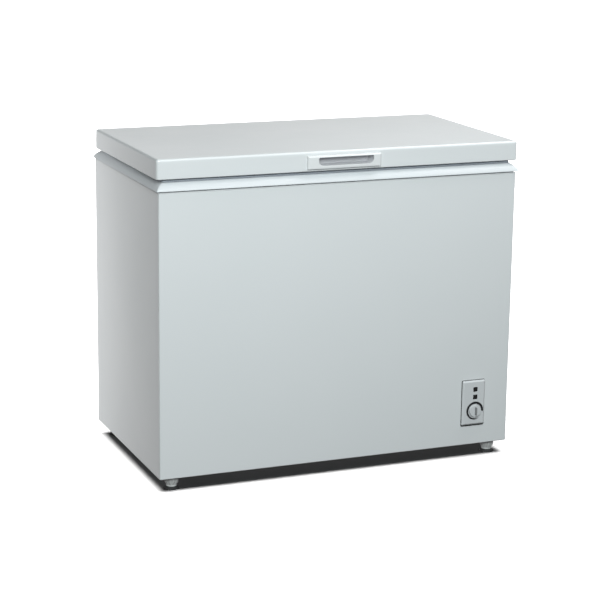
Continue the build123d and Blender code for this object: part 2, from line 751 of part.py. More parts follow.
def leaf_screw_holes(clearance):
    """Holes in the lid for the hinge leaf screws."""
    low, high = LID_REAR - LEAF_SCREW_LENGTH - 1, LID_REAR + 5
    return [rod_y(x, z, (low, high), SCREW_RADIUS + clearance) for x, z in leaf_screw_places()]


def lid_skin():
    """Folded steel lid: the top, four skirts and a narrow return flange."""
    skin = lid_volume(0, LID_BOTTOM, HEIGHT) - lid_volume(SHEET, LID_BOTTOM + SHEET, HEIGHT - SHEET)
    skin -= rounded_block(
        (-LID_X + LID_FLANGE, LID_X - LID_FLANGE),
        (LID_FRONT + LID_FLANGE, LID_REAR - LID_FLANGE),
        (LID_BOTTOM - 1, LID_BOTTOM + 2),
        4.0,
    )
    skin -= handle_pocket(0.3, (LID_FRONT - 1, LID_FRONT + 5))
    for hole in leaf_screw_holes(SCREW_CLEARANCE):
        skin -= hole
    return skin


def lid_foam():
    """Insulation that fills the lid."""
    inset = SHEET + FOAM_GAP
    foam = lid_volume(inset, LID_BOTTOM + SHEET + LID_PANEL, HEIGHT - inset)
    wall = LID_PANEL + FOAM_GAP
    foam += rounded_block(
        (-PLUG_X + wall, PLUG_X - wall),
        (-PLUG_Y + wall, PLUG_Y - wall),
        (PLUG_BOTTOM + LID_PANEL + FOAM_GAP, LID_BOTTOM + 10),
        20.0 - wall,
    )
    foam -= handle_pocket(0.3, (LID_FRONT - 1, RECESS_BACK + CUP_WALL + 0.3))
    for hole in leaf_screw_holes(SCREW_CLEARANCE):
        foam -= hole
    return foam


def lid_inner_panel():
    """Moulded inner face of the lid, with a shallow plug that enters the mouth."""
    low = LID_BOTTOM + SHEET
    inset = SHEET + 0.4
    panel = rounded_block(
        (-LID_X + inset, LID_X - inset), (LID_FRONT + inset, LID_REAR - inset), (low, low + LID_PANEL), 6.5
    )
    plug = rounded_block((-PLUG_X, PLUG_X), (-PLUG_Y, PLUG_Y), (PLUG_BOTTOM, low + LID_PANEL), 20.0)
    plug = fillet(plug.faces().sort_by(Axis.Z)[0].edges(), 4.0)
    hollow = rounded_block(
        (-PLUG_X + LID_PANEL, PLUG_X - LID_PANEL),
        (-PLUG_Y + LID_PANEL, PLUG_Y - LID_PANEL),
        (PLUG_BOTTOM + LID_PANEL, low + 5),
        20.0 - LID_PANEL,
    )
    return panel + plug - hollow


def lid_gasket():
    """Magnetic seal: a foot against the inner panel and a softer bulb that meets the collar."""
    top = LID_BOTTOM + SHEET
    outer_x = X_SIDE + COLLAR_BEVEL_TOP
    front = -Y_SIDE - COLLAR_BEVEL_TOP
    rear = LID_REAR - LID_FLANGE - 0.5

    def ring(outset, z_range):
        outside = rounded_block(
            (-outer_x - outset, outer_x + outset), (front - outset, rear + outset), z_range, 6.0 + outset
        )
        width = GASKET_WIDTH + outset
        return outside - rounded_block(
            (-outer_x + width, outer_x - width), (front + width, rear - width), z_range, 4.0
        )

    return ring(0, (GASKET_BOTTOM, top)) - ring(-3.0, (top - 4.5, top - 3.0))


def lid_handle():
    """Bezel with sloped ends, and a cup behind it that the fingers reach into."""
    bezel = block((HANDLE_LEFT, HANDLE_RIGHT), (HANDLE_FRONT, LID_FRONT), (HANDLE_BOTTOM, HANDLE_TOP))
    ends = bezel.faces().sort_by(Axis.Y)[0].edges()
    bezel = chamfer(ends.filter_by(Axis.Z), 6.0)
    bezel = fillet(bezel.faces().sort_by(Axis.Y)[0].edges().filter_by(Axis.X), 3.0)
    cup = handle_pocket(0, (LID_FRONT, RECESS_BACK + CUP_WALL))
    recess = block((RECESS_LEFT, RECESS_RIGHT), (HANDLE_FRONT - 1, RECESS_BACK), (RECESS_BOTTOM, RECESS_TOP))
    along = recess.edges().filter_by(Axis.Y)
    recess = fillet(along.sort_by(Axis.Z)[:2], 14.0)
    recess = fillet(recess.edges().filter_by(Axis.Y).filter_by(GeomType.LINE).sort_by(Axis.Z)[-2:], 4.0)
    return bezel + cup - recess


# Hinges


def side_plate(points, x_range):
    """A plate standing in the YZ plane, from its outline."""
    face = make_face(Polyline(*points, close=True))
    placed = Plane(origin=(x_range[0], 0, 0), x_dir=(0, 1, 0), z_dir=(1, 0, 0)) * face
    return extrude(placed, amount=x_range[1] - x_range[0], dir=(1, 0, 0))


def hinge_base(side):
    """Bracket on the cabinet's back with two ears for the pin."""
    middle = side * HINGE_X
    base = block((middle - 32, middle + 32), (Y_SIDE, Y_SIDE + HINGE_PLATE), (690, 785))
    for x in (-31.0, 28.0):
        outline = [
            (Y_SIDE, 742),
            (PIN_Y + 9, PIN_Z - 8),
            (PIN_Y + 9, PIN_Z + 2),
            (PIN_Y + 2, PIN_Z + 9),
            (Y_SIDE, PIN_Z + 9),
        ]
        base += side_plate(outline, (middle + x, middle + x + HINGE_EAR))
    base -= rod_x(PIN_Y, PIN_Z, (middle - 40, middle + 40), PIN_RADIUS + PIN_CLEARANCE)
    for x, z in base_screw_places():
        if x * side > 0:
            base -= rod_y(x, z, (Y_SIDE - 1, Y_SIDE + 5), SCREW_RADIUS + SCREW_CLEARANCE)
    return base


def hinge_leaf(side):
    """Bracket on the lid's rear face with two arms that reach back to the pin."""
    middle = side * HINGE_X
    leaf_z = (LID_BOTTOM + 5, LID_BOTTOM + 42)
    leaf = block((middle - 26, middle + 26), (LID_REAR, LID_REAR + HINGE_PLATE), leaf_z)
    for x in (-26.0, 23.0):
        outline = [
            (LID_REAR, LID_BOTTOM + 5),
            (LID_REAR, LID_BOTTOM + 40),
            (LID_REAR + 5, LID_BOTTOM + 40),
            (PIN_Y + 5, PIN_Z + 6),
            (PIN_Y - 1, PIN_Z - 4),
            (LID_REAR + 8, PIN_Z),
        ]
        arm = side_plate(outline, (middle + x, middle + x + HINGE_EAR))
        leaf += arm + rod_x(PIN_Y, PIN_Z, (middle + x, middle + x + HINGE_EAR), 7.5)
    leaf -= rod_x(PIN_Y, PIN_Z, (middle - 40, middle + 40), PIN_RADIUS + PIN_CLEARANCE)
    for x, z in leaf_screw_places():
        if x * side > 0:
            leaf -= rod_y(x, z, (LID_REAR - 1, LID_REAR + 5), SCREW_RADIUS + SCREW_CLEARANCE)
    return leaf


def hinge_base_screws():
    """Screws of both hinge bases."""
    return screw_group(base_screw_places(), Y_SIDE + HINGE_PLATE, Y_SIDE - 12)


def hinge_leaf_screws():
    """Screws of both hinge leaves."""
    return screw_group(leaf_screw_places(), LID_REAR + HINGE_PLATE, LID_REAR - LEAF_SCREW_LENGTH)


def hinge_pin(side):
    """Headed pin through both hinge brackets."""
    middle = side * HINGE_X
    pin = rod_x(PIN_Y, PIN_Z, (middle - 33, middle + 33), PIN_RADIUS)
    return pin + rod_x(PIN_Y, PIN_Z, (middle - 34.5, middle - 32), 5.0)


def hinge_spring(side):
    """Envelope of the torsion spring's coil round the pin."""
    middle = side * HINGE_X
    coil = rod_x(PIN_Y, PIN_Z, (middle - 19, middle + 19), 6.6)
    return coil - rod_x(PIN_Y, PIN_Z, (middle - 20, middle + 20), 4.4)


# Feet


def foot_sole(side_x, side_y):
    """Rubber sole."""
    sole = rod_z(side_x * FOOT_X, side_y * FOOT_Y, (0, SOLE_HEIGHT), SOLE_RADIUS)
    return fillet(sole.edges().filter_by(GeomType.CIRCLE), 2.0)


def foot_cup(side_x, side_y):
    """Tapered cup with its threaded stud."""
    x, y = side_x * FOOT_X, side_y * FOOT_Y
    height = FOOT_HEIGHT - SOLE_HEIGHT
    cup = Pos(x, y, SOLE_HEIGHT + height / 2) * Cone(CUP_BOTTOM_RADIUS, CUP_TOP_RADIUS, height)
    return cup + rod_z(x, y, (FOOT_HEIGHT, FOOT_HEIGHT + 16), STUD_RADIUS)


# Basket


def basket_hoop(z, radius, inset_x, half_y):
    """A closed wire hoop round the basket."""
    left, right = BASKET_LEFT + inset_x, BASKET_RIGHT - inset_x
    points = [(left, -half_y, z), (right, -half_y, z), (right, half_y, z), (left, half_y, z)]
    return tube(points, radius, 12.0, closed=True)


def basket():
    """Welded wire basket that hangs from its rim on the collar's front and rear ledges."""
    parts = [basket_hoop(BASKET_RIM_Z, BASKET_RIM_WIRE, 0, BASKET_RIM_Y)]
    middle_z = (BASKET_RIM_Z + BASKET_BOTTOM) / 2
    parts.append(basket_hoop(middle_z, BASKET_WIRE, BASKET_TAPER / 2 + 2.6, BASKET_NECK_Y - 6.6))
    count_x = 8
    first_x = BASKET_LEFT + 24
    step_x = (BASKET_RIGHT - BASKET_LEFT - 48) / (count_x - 1)
    for index in range(count_x):
        x = first_x + index * step_x
        points = [
            (x, -BASKET_RIM_Y, BASKET_RIM_Z),
            (x, -BASKET_NECK_Y, BASKET_RIM_Z),
            (x, -BASKET_FLOOR_Y, BASKET_BOTTOM),
            (x, BASKET_FLOOR_Y, BASKET_BOTTOM),
            (x, BASKET_NECK_Y, BASKET_RIM_Z),
            (x, BASKET_RIM_Y, BASKET_RIM_Z),
        ]
        parts.append(tube(points, BASKET_WIRE, 7.0))
    count_y = 9
    step_y = 2 * (BASKET_FLOOR_Y - 20) / (count_y - 1)
    for index in range(count_y):
        y = -BASKET_FLOOR_Y + 20 + index * step_y
        low = BASKET_BOTTOM + 2 * BASKET_WIRE - 0.7
        points = [
            (BASKET_LEFT, y, BASKET_RIM_Z),
            (BASKET_LEFT + BASKET_TAPER, y, low),
            (BASKET_RIGHT - BASKET_TAPER, y, low),
            (BASKET_RIGHT, y, BASKET_RIM_Z),
        ]
        parts.append(tube(points, BASKET_WIRE, 7.0))
    whole = parts[0]
    return whole.fuse(*parts[1:])


def nodes():
    """Every node's name and solid."""
    yield "cabinet_wrap", cabinet_wrap()
    yield "back_panel", back_panel()
    yield "base_pan", base_pan()
    yield "compartment_liner", compartment_liner()
    yield "compressor_tray", compressor_tray()
    yield "foot_rail_left", foot_rail(-1)
    yield "foot_rail_right", foot_rail(1)
    yield "cabinet_foam", cabinet_foam()
    yield "inner_liner", inner_liner()
    yield "evaporator_coil", evaporator_coil()
    yield "condenser_coil", condenser_coil()
    yield "collar_front", collar_rail("y", -1)
    yield "collar_rear", collar_rail("y", 1, has_tip=False)
    yield "collar_left", collar_rail("x", -1)
    yield "collar_right", collar_rail("x", 1)
    yield "compressor", compressor()
    yield "compressor_grommets", compressor_grommets()
    yield "compressor_bolts", compressor_bolts()
    yield "compressor_relay_cover", compressor_relay_cover()
    yield "filter_drier", filter_drier()
    yield "discharge_pipe", discharge_pipe()
    yield "suction_pipe", suction_pipe()
    yield "rear_cover", rear_cover()
    yield "rear_cover_screws", rear_cover_screws()
    yield "cord_gland", cord_gland()
    yield "side_grille", side_grille()
    yield "control_cover", control_cover()
    yield "indicator_lenses", indicator_lenses()
    yield "indicator_lamps", indicator_lamps()
    yield "thermostat_body", thermostat_body()
    yield "thermostat_knob", thermostat_knob()
    yield "lid_skin", lid_skin()
    yield "lid_foam", lid_foam()
    yield "lid_inner_panel", lid_inner_panel()
    yield "lid_gasket", lid_gasket()
    yield "lid_handle", lid_handle()
    yield "hinge_base_screws", hinge_base_screws()
    yield "hinge_leaf_screws", hinge_leaf_screws()
    for side, name in ((-1, "left"), (1, "right")):
        yield f"hinge_base_{name}", hinge_base(side)
        yield f"hinge_leaf_{name}", hinge_leaf(side)
        yield f"hinge_pin_{name}", hinge_pin(side)
        yield f"hinge_spring_{name}", hinge_spring(side)
    for side_y, row in ((-1, "front"), (1, "rear")):
        for side_x, name in ((-1, "left"), (1, "right")):
            yield f"foot_cup_{row}_{name}", foot_cup(side_x, side_y)
            yield f"foot_sole_{row}_{name}", foot_sole(side_x, side_y)
    yield "basket", basket()


os.makedirs("parts", exist_ok=True)
for node_name, node_solid in nodes():
    export_step(node_solid, f"parts/{node_name}.step")
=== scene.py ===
import json
import logging
import math
from contextlib import contextmanager
from dataclasses import dataclass, field
from enum import Enum
from functools import lru_cache
from typing import Callable, Iterable, Iterator, Sequence

import bmesh
import bpy
from mathutils import Matrix, Vector

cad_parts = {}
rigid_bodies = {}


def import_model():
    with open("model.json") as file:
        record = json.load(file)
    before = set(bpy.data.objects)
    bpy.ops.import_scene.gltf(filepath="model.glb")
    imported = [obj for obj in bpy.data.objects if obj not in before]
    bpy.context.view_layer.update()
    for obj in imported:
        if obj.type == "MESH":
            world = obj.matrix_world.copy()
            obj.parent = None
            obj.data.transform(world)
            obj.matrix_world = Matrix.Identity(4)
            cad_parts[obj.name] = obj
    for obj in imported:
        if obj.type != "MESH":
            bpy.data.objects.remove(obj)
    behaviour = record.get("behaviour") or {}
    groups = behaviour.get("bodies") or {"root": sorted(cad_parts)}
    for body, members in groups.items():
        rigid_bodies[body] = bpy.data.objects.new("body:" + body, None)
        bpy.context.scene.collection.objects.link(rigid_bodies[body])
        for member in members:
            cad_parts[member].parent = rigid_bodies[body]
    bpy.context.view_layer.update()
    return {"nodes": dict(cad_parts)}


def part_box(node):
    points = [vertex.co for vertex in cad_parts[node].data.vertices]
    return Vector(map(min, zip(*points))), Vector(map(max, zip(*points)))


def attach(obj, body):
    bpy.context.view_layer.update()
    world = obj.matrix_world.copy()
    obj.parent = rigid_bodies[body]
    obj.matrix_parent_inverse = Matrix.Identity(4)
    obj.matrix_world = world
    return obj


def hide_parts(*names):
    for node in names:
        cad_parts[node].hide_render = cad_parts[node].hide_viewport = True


# The looks of a chest freezer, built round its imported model. Metres, +Z up, and the front faces -Y.

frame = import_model()

LOG = logging.getLogger("chest_freezer")
MM = 0.001
FAR = 10.0
SHEET = 0.8 * MM
MERGE_WITHIN = 0.001 * MM
ON_PLANE = 0.0001 * MM
SQUARE_CORNER = 0.5 * MM
SMALLEST_RADIUS = 0.4 * MM
COAT_ROUGHNESS = 0.08
MOTTLE_SCALE = 23.0
FULL_TURN = math.tau
Vert, Edge, Face = bmesh.types.BMVert, bmesh.types.BMEdge, bmesh.types.BMFace
Colour = tuple[float, float, float]
Point = tuple[float, ...]


# Shader maths


class Value:
    """A shader number that Python's operators work on."""

    def __init__(self, surface: "Surface", socket: bpy.types.NodeSocket) -> None:
        """Keeps the socket and the surface that it belongs to."""
        self.surface = surface
        self.socket = socket

    def math(self, operation: str, *operands: "Value | float") -> "Value":
        """Adds one Math node.

        Args:
            operation: The Math node's operation.
            operands: The values for its inputs, in order.

        Returns:
            The node's result.
        """
        made = self.surface.node("ShaderNodeMath", {"operation": operation}, dict(enumerate(operands)))
        return Value(self.surface, made.outputs[0])

    def __add__(self, other: "Value | float") -> "Value":
        """The sum."""
        return self.math("ADD", self, other)

    def __sub__(self, other: "Value | float") -> "Value":
        """The difference."""
        return self.math("SUBTRACT", self, other)

    def __rsub__(self, other: "Value | float") -> "Value":
        """The difference from a number."""
        return self.math("SUBTRACT", other, self)

    def __mul__(self, other: "Value | float") -> "Value":
        """The product."""
        return self.math("MULTIPLY", self, other)

    __radd__ = __add__
    __rmul__ = __mul__

    def bearing(self, other: "Value") -> "Value":
        """The angle whose sine is this value and whose cosine is the other."""
        return self.math("ARCTAN2", self, other)

    def ramp(self, low: float, high: float, start: float = 0.0, end: float = 1.0) -> "Value":
        """Turns a range of this value smoothly into another.

        Args:
            low: Where the ramp starts.
            high: Where it ends.
            start: The result at and below low.
            end: The result at and above high.

        Returns:
            The ramped value.
        """
        inputs = {"Value": self, "From Min": low, "From Max": high, "To Min": start, "To Max": end}
        made = self.surface.node("ShaderNodeMapRange", {"interpolation_type": "SMOOTHSTEP"}, inputs)
        return Value(self.surface, made.outputs[0])


class Surface:
    """A material's nodes round one principled shader."""

    def __init__(self, name: str) -> None:
        """Makes the material."""
        self.material = bpy.data.materials.new(name)
        self.material.use_nodes = True
        self.tree = self.material.node_tree
        self.shader = self.tree.nodes["Principled BSDF"]

    def node(self, kind: str, settings: dict[str, object],
             inputs: dict[str | int, object]) -> bpy.types.Node:
        """Adds a node.

        Args:
            kind: The node's type.
            settings: Its properties, which are set first.
            inputs: Values or links, by socket name or number.

        Returns:
            The new node.
        """
        made = self.tree.nodes.new(kind)
        for name, setting in settings.items():
            setattr(made, name, setting)
        for key, given in inputs.items():
            if isinstance(given, Value):
                given = given.socket
            if isinstance(given, bpy.types.NodeSocket):
                self.tree.links.new(given, made.inputs[key])
            else:
                made.inputs[key].default_value = given
        return made

    def place(self, stretch: Point = (1.0, 1.0, 1.0)) -> bpy.types.NodeSocket:
        """The object's own coordinates in metres, stretched along its axes."""
        source = self.node("ShaderNodeTexCoord", {}, {})
        inputs = {"Vector": source.outputs["Object"], "Scale": stretch}
        return self.node("ShaderNodeMapping", {}, inputs).outputs[0]

    def noise(self, place: bpy.types.NodeSocket, scale: float, detail: float = 2.0) -> Value:
        """Soft noise with so many cycles to a metre."""
        inputs = {"Vector": place, "Scale": scale, "Detail": detail}
        return Value(self, self.node("ShaderNodeTexNoise", {}, inputs).outputs["Fac"])

    def cells(self, place: bpy.types.NodeSocket, scale: float, feature: str, output: str) -> Value:
        """A cell pattern's chosen output."""
        inputs = {"Vector": place, "Scale": scale}
        return Value(self, self.node("ShaderNodeTexVoronoi", {"feature": feature}, inputs).outputs[output])

    def mix(self, factor: Value, first: object, second: object) -> bpy.types.NodeSocket:
        """Mixes two colours, given as triples or sockets."""
        first, second = [(*given, 1.0) if isinstance(given, tuple) else given for given in (first, second)]
        inputs = {0: factor, 6: first, 7: second}
        return self.node("ShaderNodeMix", {"data_type": "RGBA"}, inputs).outputs[2]

    def feed(self, name: str, given: "Value | bpy.types.NodeSocket | float") -> None:
        """Links or sets one of the shader's inputs."""
        if isinstance(given, Value):
            given = given.socket
        if isinstance(given, bpy.types.NodeSocket):
            self.tree.links.new(given, self.shader.inputs[name])
        else:
            self.shader.inputs[name].default_value = given

    def bump(self, height: Value, depth: float) -> None:
        """Roughens the surface by a height of so many metres."""
        made = self.node("ShaderNodeBump", {}, {"Height": height, "Distance": depth, "Strength": 1.0})
        self.feed("Normal", made.outputs[0])


class Grain(Enum):
    """The fine texture of a finish."""

    ORANGE_PEEL = "sprayed enamel's soft ripple"
    SPARK = "spark-eroded mould texture"
    SPANGLE = "zinc crystals"
    STUCCO = "embossed aluminium"
    DRAWN = "fine lines along a drawn or rolled metal"
    CELLS = "foam cells"

    def height(self, surface: Surface, scale: float) -> Value:
        """The texture's height, from 0 to about 1.

        Args:
            surface: The surface that gets it.
            scale: Its cycles to a metre.

        Returns:
            The height.
        """
        place = surface.place()
        if self is Grain.STUCCO:
            dimples = surface.cells(place, scale, "SMOOTH_F1", "Distance")
            return dimples * 0.8 + surface.noise(place, scale * 0.6) * 0.4
        if self is Grain.SPANGLE:
            crystals = surface.cells(place, scale, "F1", "Distance")
            return crystals * 0.5 + surface.noise(place, scale * 4) * 0.3
        if self is Grain.DRAWN:
            return surface.noise(surface.place((1.0, 1.0, 0.05)), scale)
        if self is Grain.CELLS:
            return surface.cells(place, scale, "F1", "Distance") + surface.noise(place, scale * 0.2)
        return surface.noise(place, scale, 3.0)


@dataclass(frozen=True)
class Finish:
    """A painted, moulded, rolled or drawn surface.

    Attributes:
        name: The material's name.
        colour: Its main colour.
        second: The colour it drifts to over its surface.
        roughness: Its mean roughness.
        grain: Its fine texture.
        grain_scale: The texture's cycles to a metre.
        grain_depth: The texture's depth in metres.
        drift_scale: Cycles to a metre of the colour's drift.
        uneven: How far the roughness varies.
        metallic: 1 for bare metal.
        coat: The weight of a clear gloss coat.
        specular: The shader's specular level.
        slot: The record's material slot, or none; not used.
    """

    name: str
    colour: Colour
    second: Colour
    roughness: float
    grain: Grain
    grain_scale: float
    grain_depth: float
    drift_scale: float = 4.0
    uneven: float = 0.08
    metallic: float = 0.0
    coat: float = 0.0
    specular: float = 0.5
    slot: str | None = None

    @lru_cache(maxsize=None)
    def material(self) -> bpy.types.Material:
        """Builds the finish once and returns its material."""
        surface = Surface(self.name)
        place = surface.place()
        if self.grain is Grain.SPANGLE:
            drift = surface.cells(place, self.grain_scale, "F1", "Color")
        else:
            drift = surface.noise(place, self.drift_scale, 4.0).ramp(0.3, 0.7)
        height = self.grain.height(surface, self.grain_scale)
        surface.feed("Base Color", surface.mix(drift, self.colour, self.second))
        mottle = surface.noise(place, MOTTLE_SCALE) * self.uneven
        surface.feed("Roughness", drift * self.uneven + mottle + (self.roughness - self.uneven))
        surface.feed("Metallic", self.metallic)
        surface.feed("Coat Weight", self.coat)
        surface.feed("Coat Roughness", COAT_ROUGHNESS)
        surface.feed("Specular IOR Level", self.specular)
        surface.bump(height, self.grain_depth)
        return surface.material


@dataclass(frozen=True)
class PrintedScale:
    """Black ink that thins out to pale grey towards the coldest end of the dial's scale.

    Attributes:
        name: The material's name.
        centre: The dial's centre, X and Z.
        fade: The two bearings between which the ink pales.
        pale: How far past the fade the pale ink ends, in radians: from and to.
        speckle: How much the ink's colour and roughness vary.
        slot: No slot, because no node of the record has this ink; not used.
    """

    name: str
    centre: Point
    fade: Point
    pale: Point = (0.9, 1.0)
    speckle: float = 0.02
    slot: None = None

    def material(self) -> bpy.types.Material:
        """Builds the ink and returns its material."""
        surface = Surface(self.name)
        parts = surface.node("ShaderNodeSeparateXYZ", {}, {"Vector": surface.place()})
        across = Value(surface, parts.outputs["X"]) - self.centre[0]
        upward = Value(surface, parts.outputs["Z"]) - self.centre[1]
        bearing = upward.bearing(across)
        ended = bearing.ramp(*[self.fade[1] + reach for reach in self.pale])
        ink = bearing.ramp(*self.fade) * (1.0 - ended)
        speckle = surface.noise(surface.place(), 900.0) * self.speckle
        black = surface.mix(speckle, (0.012, 0.012, 0.014), (0.03, 0.03, 0.03))
        surface.feed("Base Color", surface.mix(ink, black, (0.42, 0.43, 0.44)))
        surface.feed("Roughness", speckle + 0.45)
        return surface.material


ENAMEL = Finish("white_enamel", (0.700, 0.722, 0.728), (0.685, 0.710, 0.716), 0.34, Grain.ORANGE_PEEL,
                260.0, 0.012 * MM, drift_scale=2.5, coat=0.25, slot="enamelled_steel")
COLLAR_WHITE = Finish("satin_white_plastic", (0.635, 0.66, 0.675), (0.62, 0.65, 0.665), 0.42,
                      Grain.ORANGE_PEEL, 180.0, 0.01 * MM, slot="white_plastic")
HANDLE_WHITE = Finish("handle_white_plastic", (0.72, 0.735, 0.735), (0.705, 0.72, 0.725), 0.36, Grain.SPARK,
                      1500.0, 0.01 * MM, slot="white_plastic")
# The grip cup's grey is darker than the bezel's white as painted shade of the handle recess.
GRIP_PAINTED_SHADE_GREY = Finish("grip_cup_painted_shade", (0.60, 0.60, 0.62), (0.57, 0.575, 0.595), 0.5, Grain.SPARK,
                   1500.0, 0.02 * MM, slot="white_plastic")
PANEL_GREY = Finish("control_panel_plastic", (0.62, 0.64, 0.645), (0.60, 0.62, 0.63), 0.42, Grain.SPARK,
                    1800.0, 0.02 * MM, slot="control_plastic")
# The pointer bar's dark grey is painted shade of the knob's raised grip.
POINTER_PAINTED_SHADE_GREY = Finish("pointer_painted_shade_grey", (0.20, 0.205, 0.21), (0.23, 0.235, 0.24), 0.4, Grain.SPARK,
                      1800.0, 0.02 * MM)
SEAL_GREY = Finish("grey_seal_rubber", (0.36, 0.39, 0.43), (0.32, 0.35, 0.39), 0.55, Grain.SPARK,
                   900.0, 0.03 * MM, drift_scale=9.0, slot="grey_seal")
DARK_WINDOW = Finish("dark_window", (0.008, 0.008, 0.009), (0.012, 0.012, 0.013), 0.2, Grain.ORANGE_PEEL,
                     200.0, 0.005 * MM, uneven=0.03, coat=0.6, slot="dark_window")
LAMP = Finish("lamp_plastic", (0.45, 0.30, 0.06), (0.40, 0.26, 0.05), 0.3, Grain.SPARK, 900.0, 0.01 * MM,
              coat=0.3, slot="lamp_plastic")
ZINC_SHEET = Finish("galvanised_sheet", (0.50, 0.51, 0.52), (0.62, 0.63, 0.64), 0.42, Grain.SPANGLE, 70.0,
                    0.01 * MM, uneven=0.12, metallic=0.85, slot="zinc_sheet")
ZINC_PLATE = Finish("zinc_plating", (0.60, 0.61, 0.62), (0.52, 0.52, 0.50), 0.32, Grain.DRAWN, 700.0,
                    0.008 * MM, drift_scale=40.0, metallic=0.95, slot="zinc_hardware")
STUCCO_LINER = Finish("embossed_aluminium", (0.80, 0.81, 0.82), (0.74, 0.75, 0.76), 0.36, Grain.STUCCO,
                      210.0, 0.35 * MM, metallic=0.75, slot="embossed_aluminium")
FOAM = Finish("insulation_foam", (0.72, 0.62, 0.38), (0.62, 0.50, 0.27), 0.85, Grain.CELLS, 500.0, 0.4 * MM,
              drift_scale=14.0, slot="insulation_foam")
COPPER = Finish("copper_tube", (0.75, 0.36, 0.22), (0.55, 0.26, 0.17), 0.32, Grain.DRAWN, 500.0, 0.01 * MM,
                drift_scale=25.0, metallic=1.0, slot="copper_tube")
STEEL_TUBE = Finish("coated_steel_tube", (0.10, 0.10, 0.105), (0.14, 0.14, 0.14), 0.45, Grain.DRAWN, 500.0,
                    0.01 * MM, metallic=0.4, slot="steel_tube")
BLACK_ENAMEL = Finish("black_enamel", (0.012, 0.012, 0.013), (0.02, 0.02, 0.021), 0.35, Grain.ORANGE_PEEL,
                      300.0, 0.03 * MM, coat=0.3, slot="black_enamel")
RUBBER = Finish("black_rubber", (0.016, 0.016, 0.017), (0.028, 0.028, 0.028), 0.7, Grain.SPARK, 1200.0,
                0.05 * MM, slot="black_rubber")
FOOT_GREY = Finish("foot_plastic", (0.60, 0.61, 0.60), (0.54, 0.55, 0.54), 0.45, Grain.SPARK, 1500.0,
                   0.03 * MM, drift_scale=30.0, slot="foot_plastic")
WIRE_COAT = Finish("white_wire_coating", (0.74, 0.75, 0.74), (0.68, 0.69, 0.68), 0.32, Grain.ORANGE_PEEL,
                   400.0, 0.04 * MM, drift_scale=12.0, coat=0.3, slot="coated_wire")
CASE_GREY = Finish("thermostat_case", (0.10, 0.10, 0.11), (0.14, 0.14, 0.14), 0.5, Grain.SPARK, 900.0,
                   0.03 * MM, slot="thermostat_case")
STUDIO_FLOOR = Finish("studio_floor", (0.56, 0.56, 0.56), (0.54, 0.54, 0.54), 0.8, Grain.SPARK, 60.0,
                      0.02 * MM, drift_scale=0.7, specular=0.1)


# Shapes


class Facing(Enum):
    """How a shape that is drawn flat, its height along local Z, stands on the freezer."""

    UP = ((1, 0, 0), (0, 1, 0), (0, 0, 1))
    FRONT = ((1, 0, 0), (0, 0, -1), (0, 1, 0))
    REAR = ((1, 0, 0), (0, 0, 1), (0, 1, 0))
    RIGHT = ((0, 0, 1), (1, 0, 0), (0, 1, 0))

    def matrix(self) -> Matrix:
        """The turn as a 4 x 4 matrix."""
        return Matrix(self.value).to_4x4()


class Ends(Enum):
    """What closes a stack of rings."""

    OPEN = "open at both ends"
    LAST = "a face in the last ring"
    BOTH = "a face in the first and the last ring"
    LOOP = "the last ring joined to the first"


@dataclass(frozen=True)
class Ring:
    """A level rounded rectangle: its low and high corners, height and corner radius.

    Attributes:
        low: The corner with the lowest X and Y.
        high: The corner with the highest X and Y.
        height: Its place along Z.
        radius: The radius of its corners.
        upper_radius: The radius of the two corners with the highest Y, if it differs.
    """

    low: Point
    high: Point
    height: float
    radius: float
    upper_radius: float | None = None

    def corner(self, upper: bool) -> float:
        """The radius of its upper or lower corners."""
        return self.upper_radius if upper and self.upper_radius is not None else self.radius

    def carry(self, point: Vector, other: "Ring") -> Vector:
        """The point of another ring that matches a point of this one, corner for corner."""
        middle = [(low + high) / 2 for low, high in zip(self.low, self.high)]
        upper = point.y > middle[1]
        here, there = self.corner(upper), other.corner(upper)
        place = []
        for axis in (0, 1):
            side = 1 if point[axis] > middle[axis] else -1
            start = self.high[axis] if side > 0 else self.low[axis]
            end = other.high[axis] if side > 0 else other.low[axis]
            place.append(end - side * there + (point[axis] - start + side * here) * there / here)
        return Vector((*place, other.height))

    def inset(self, amount: float, height: float, radius: float | None = None) -> "Ring":
        """The same rectangle drawn in by an amount, at another height.

        Args:
            amount: How far each side moves in.
            height: The new ring's height.
            radius: Its corner radius, or none to shrink this one's.

        Returns:
            The new ring.
        """
        low = (self.low[0] + amount, self.low[1] + amount)
        high = (self.high[0] - amount, self.high[1] - amount)
        upper = self.upper_radius
        if upper is not None:
            upper = max(upper - amount, SMALLEST_RADIUS)
        if radius is None:
            radius = max(self.radius - amount, SMALLEST_RADIUS)
        return Ring(low, high, height, radius, upper)

    def steps(self, level: float, *steps: Point) -> list["Ring"]:
        """The same rectangle drawn in and raised, step by step.

        Args:
            level: The height that the rises count from, in metres.
            steps: An inset, a rise and perhaps a corner radius for each ring, in millimetres.

        Returns:
            The rings.
        """
        return [
            self.inset(inset * MM, level + rise * MM, *(radius * MM for radius in radii))
            for inset, rise, *radii in steps
        ]


def is_sharp(edge: Edge) -> bool:
    """Whether two faces meet at an edge at more than 30 degrees."""
    return len(edge.link_faces) == 2 and edge.calc_face_angle() > math.radians(30)


def only(kind: type, items: Iterable[object]) -> list:
    """The items of one kind, out of an operator's mixed result."""
    return [item for item in items if isinstance(item, kind)]


def upright(low: Vector, high: Vector, height: float, radius: float) -> Ring:
    """The ring round a box's X and Z extents, for a shape drawn flat against a rear face."""
    return Ring((low.x, low.z), (high.x, high.z), height, radius)


def quarter_round(radius: float, steps: int) -> list[Point]:
    """Insets and rises of a quarter round, from its upright end to its flat one.

    Args:
        radius: The round's radius.
        steps: How many steps it has.

    Returns:
        Pairs of inset and rise.
    """
    angles = [math.pi / 2 * step / steps for step in range(steps + 1)]
    return [(radius * (1 - math.cos(angle)), radius * math.sin(angle)) for angle in angles]


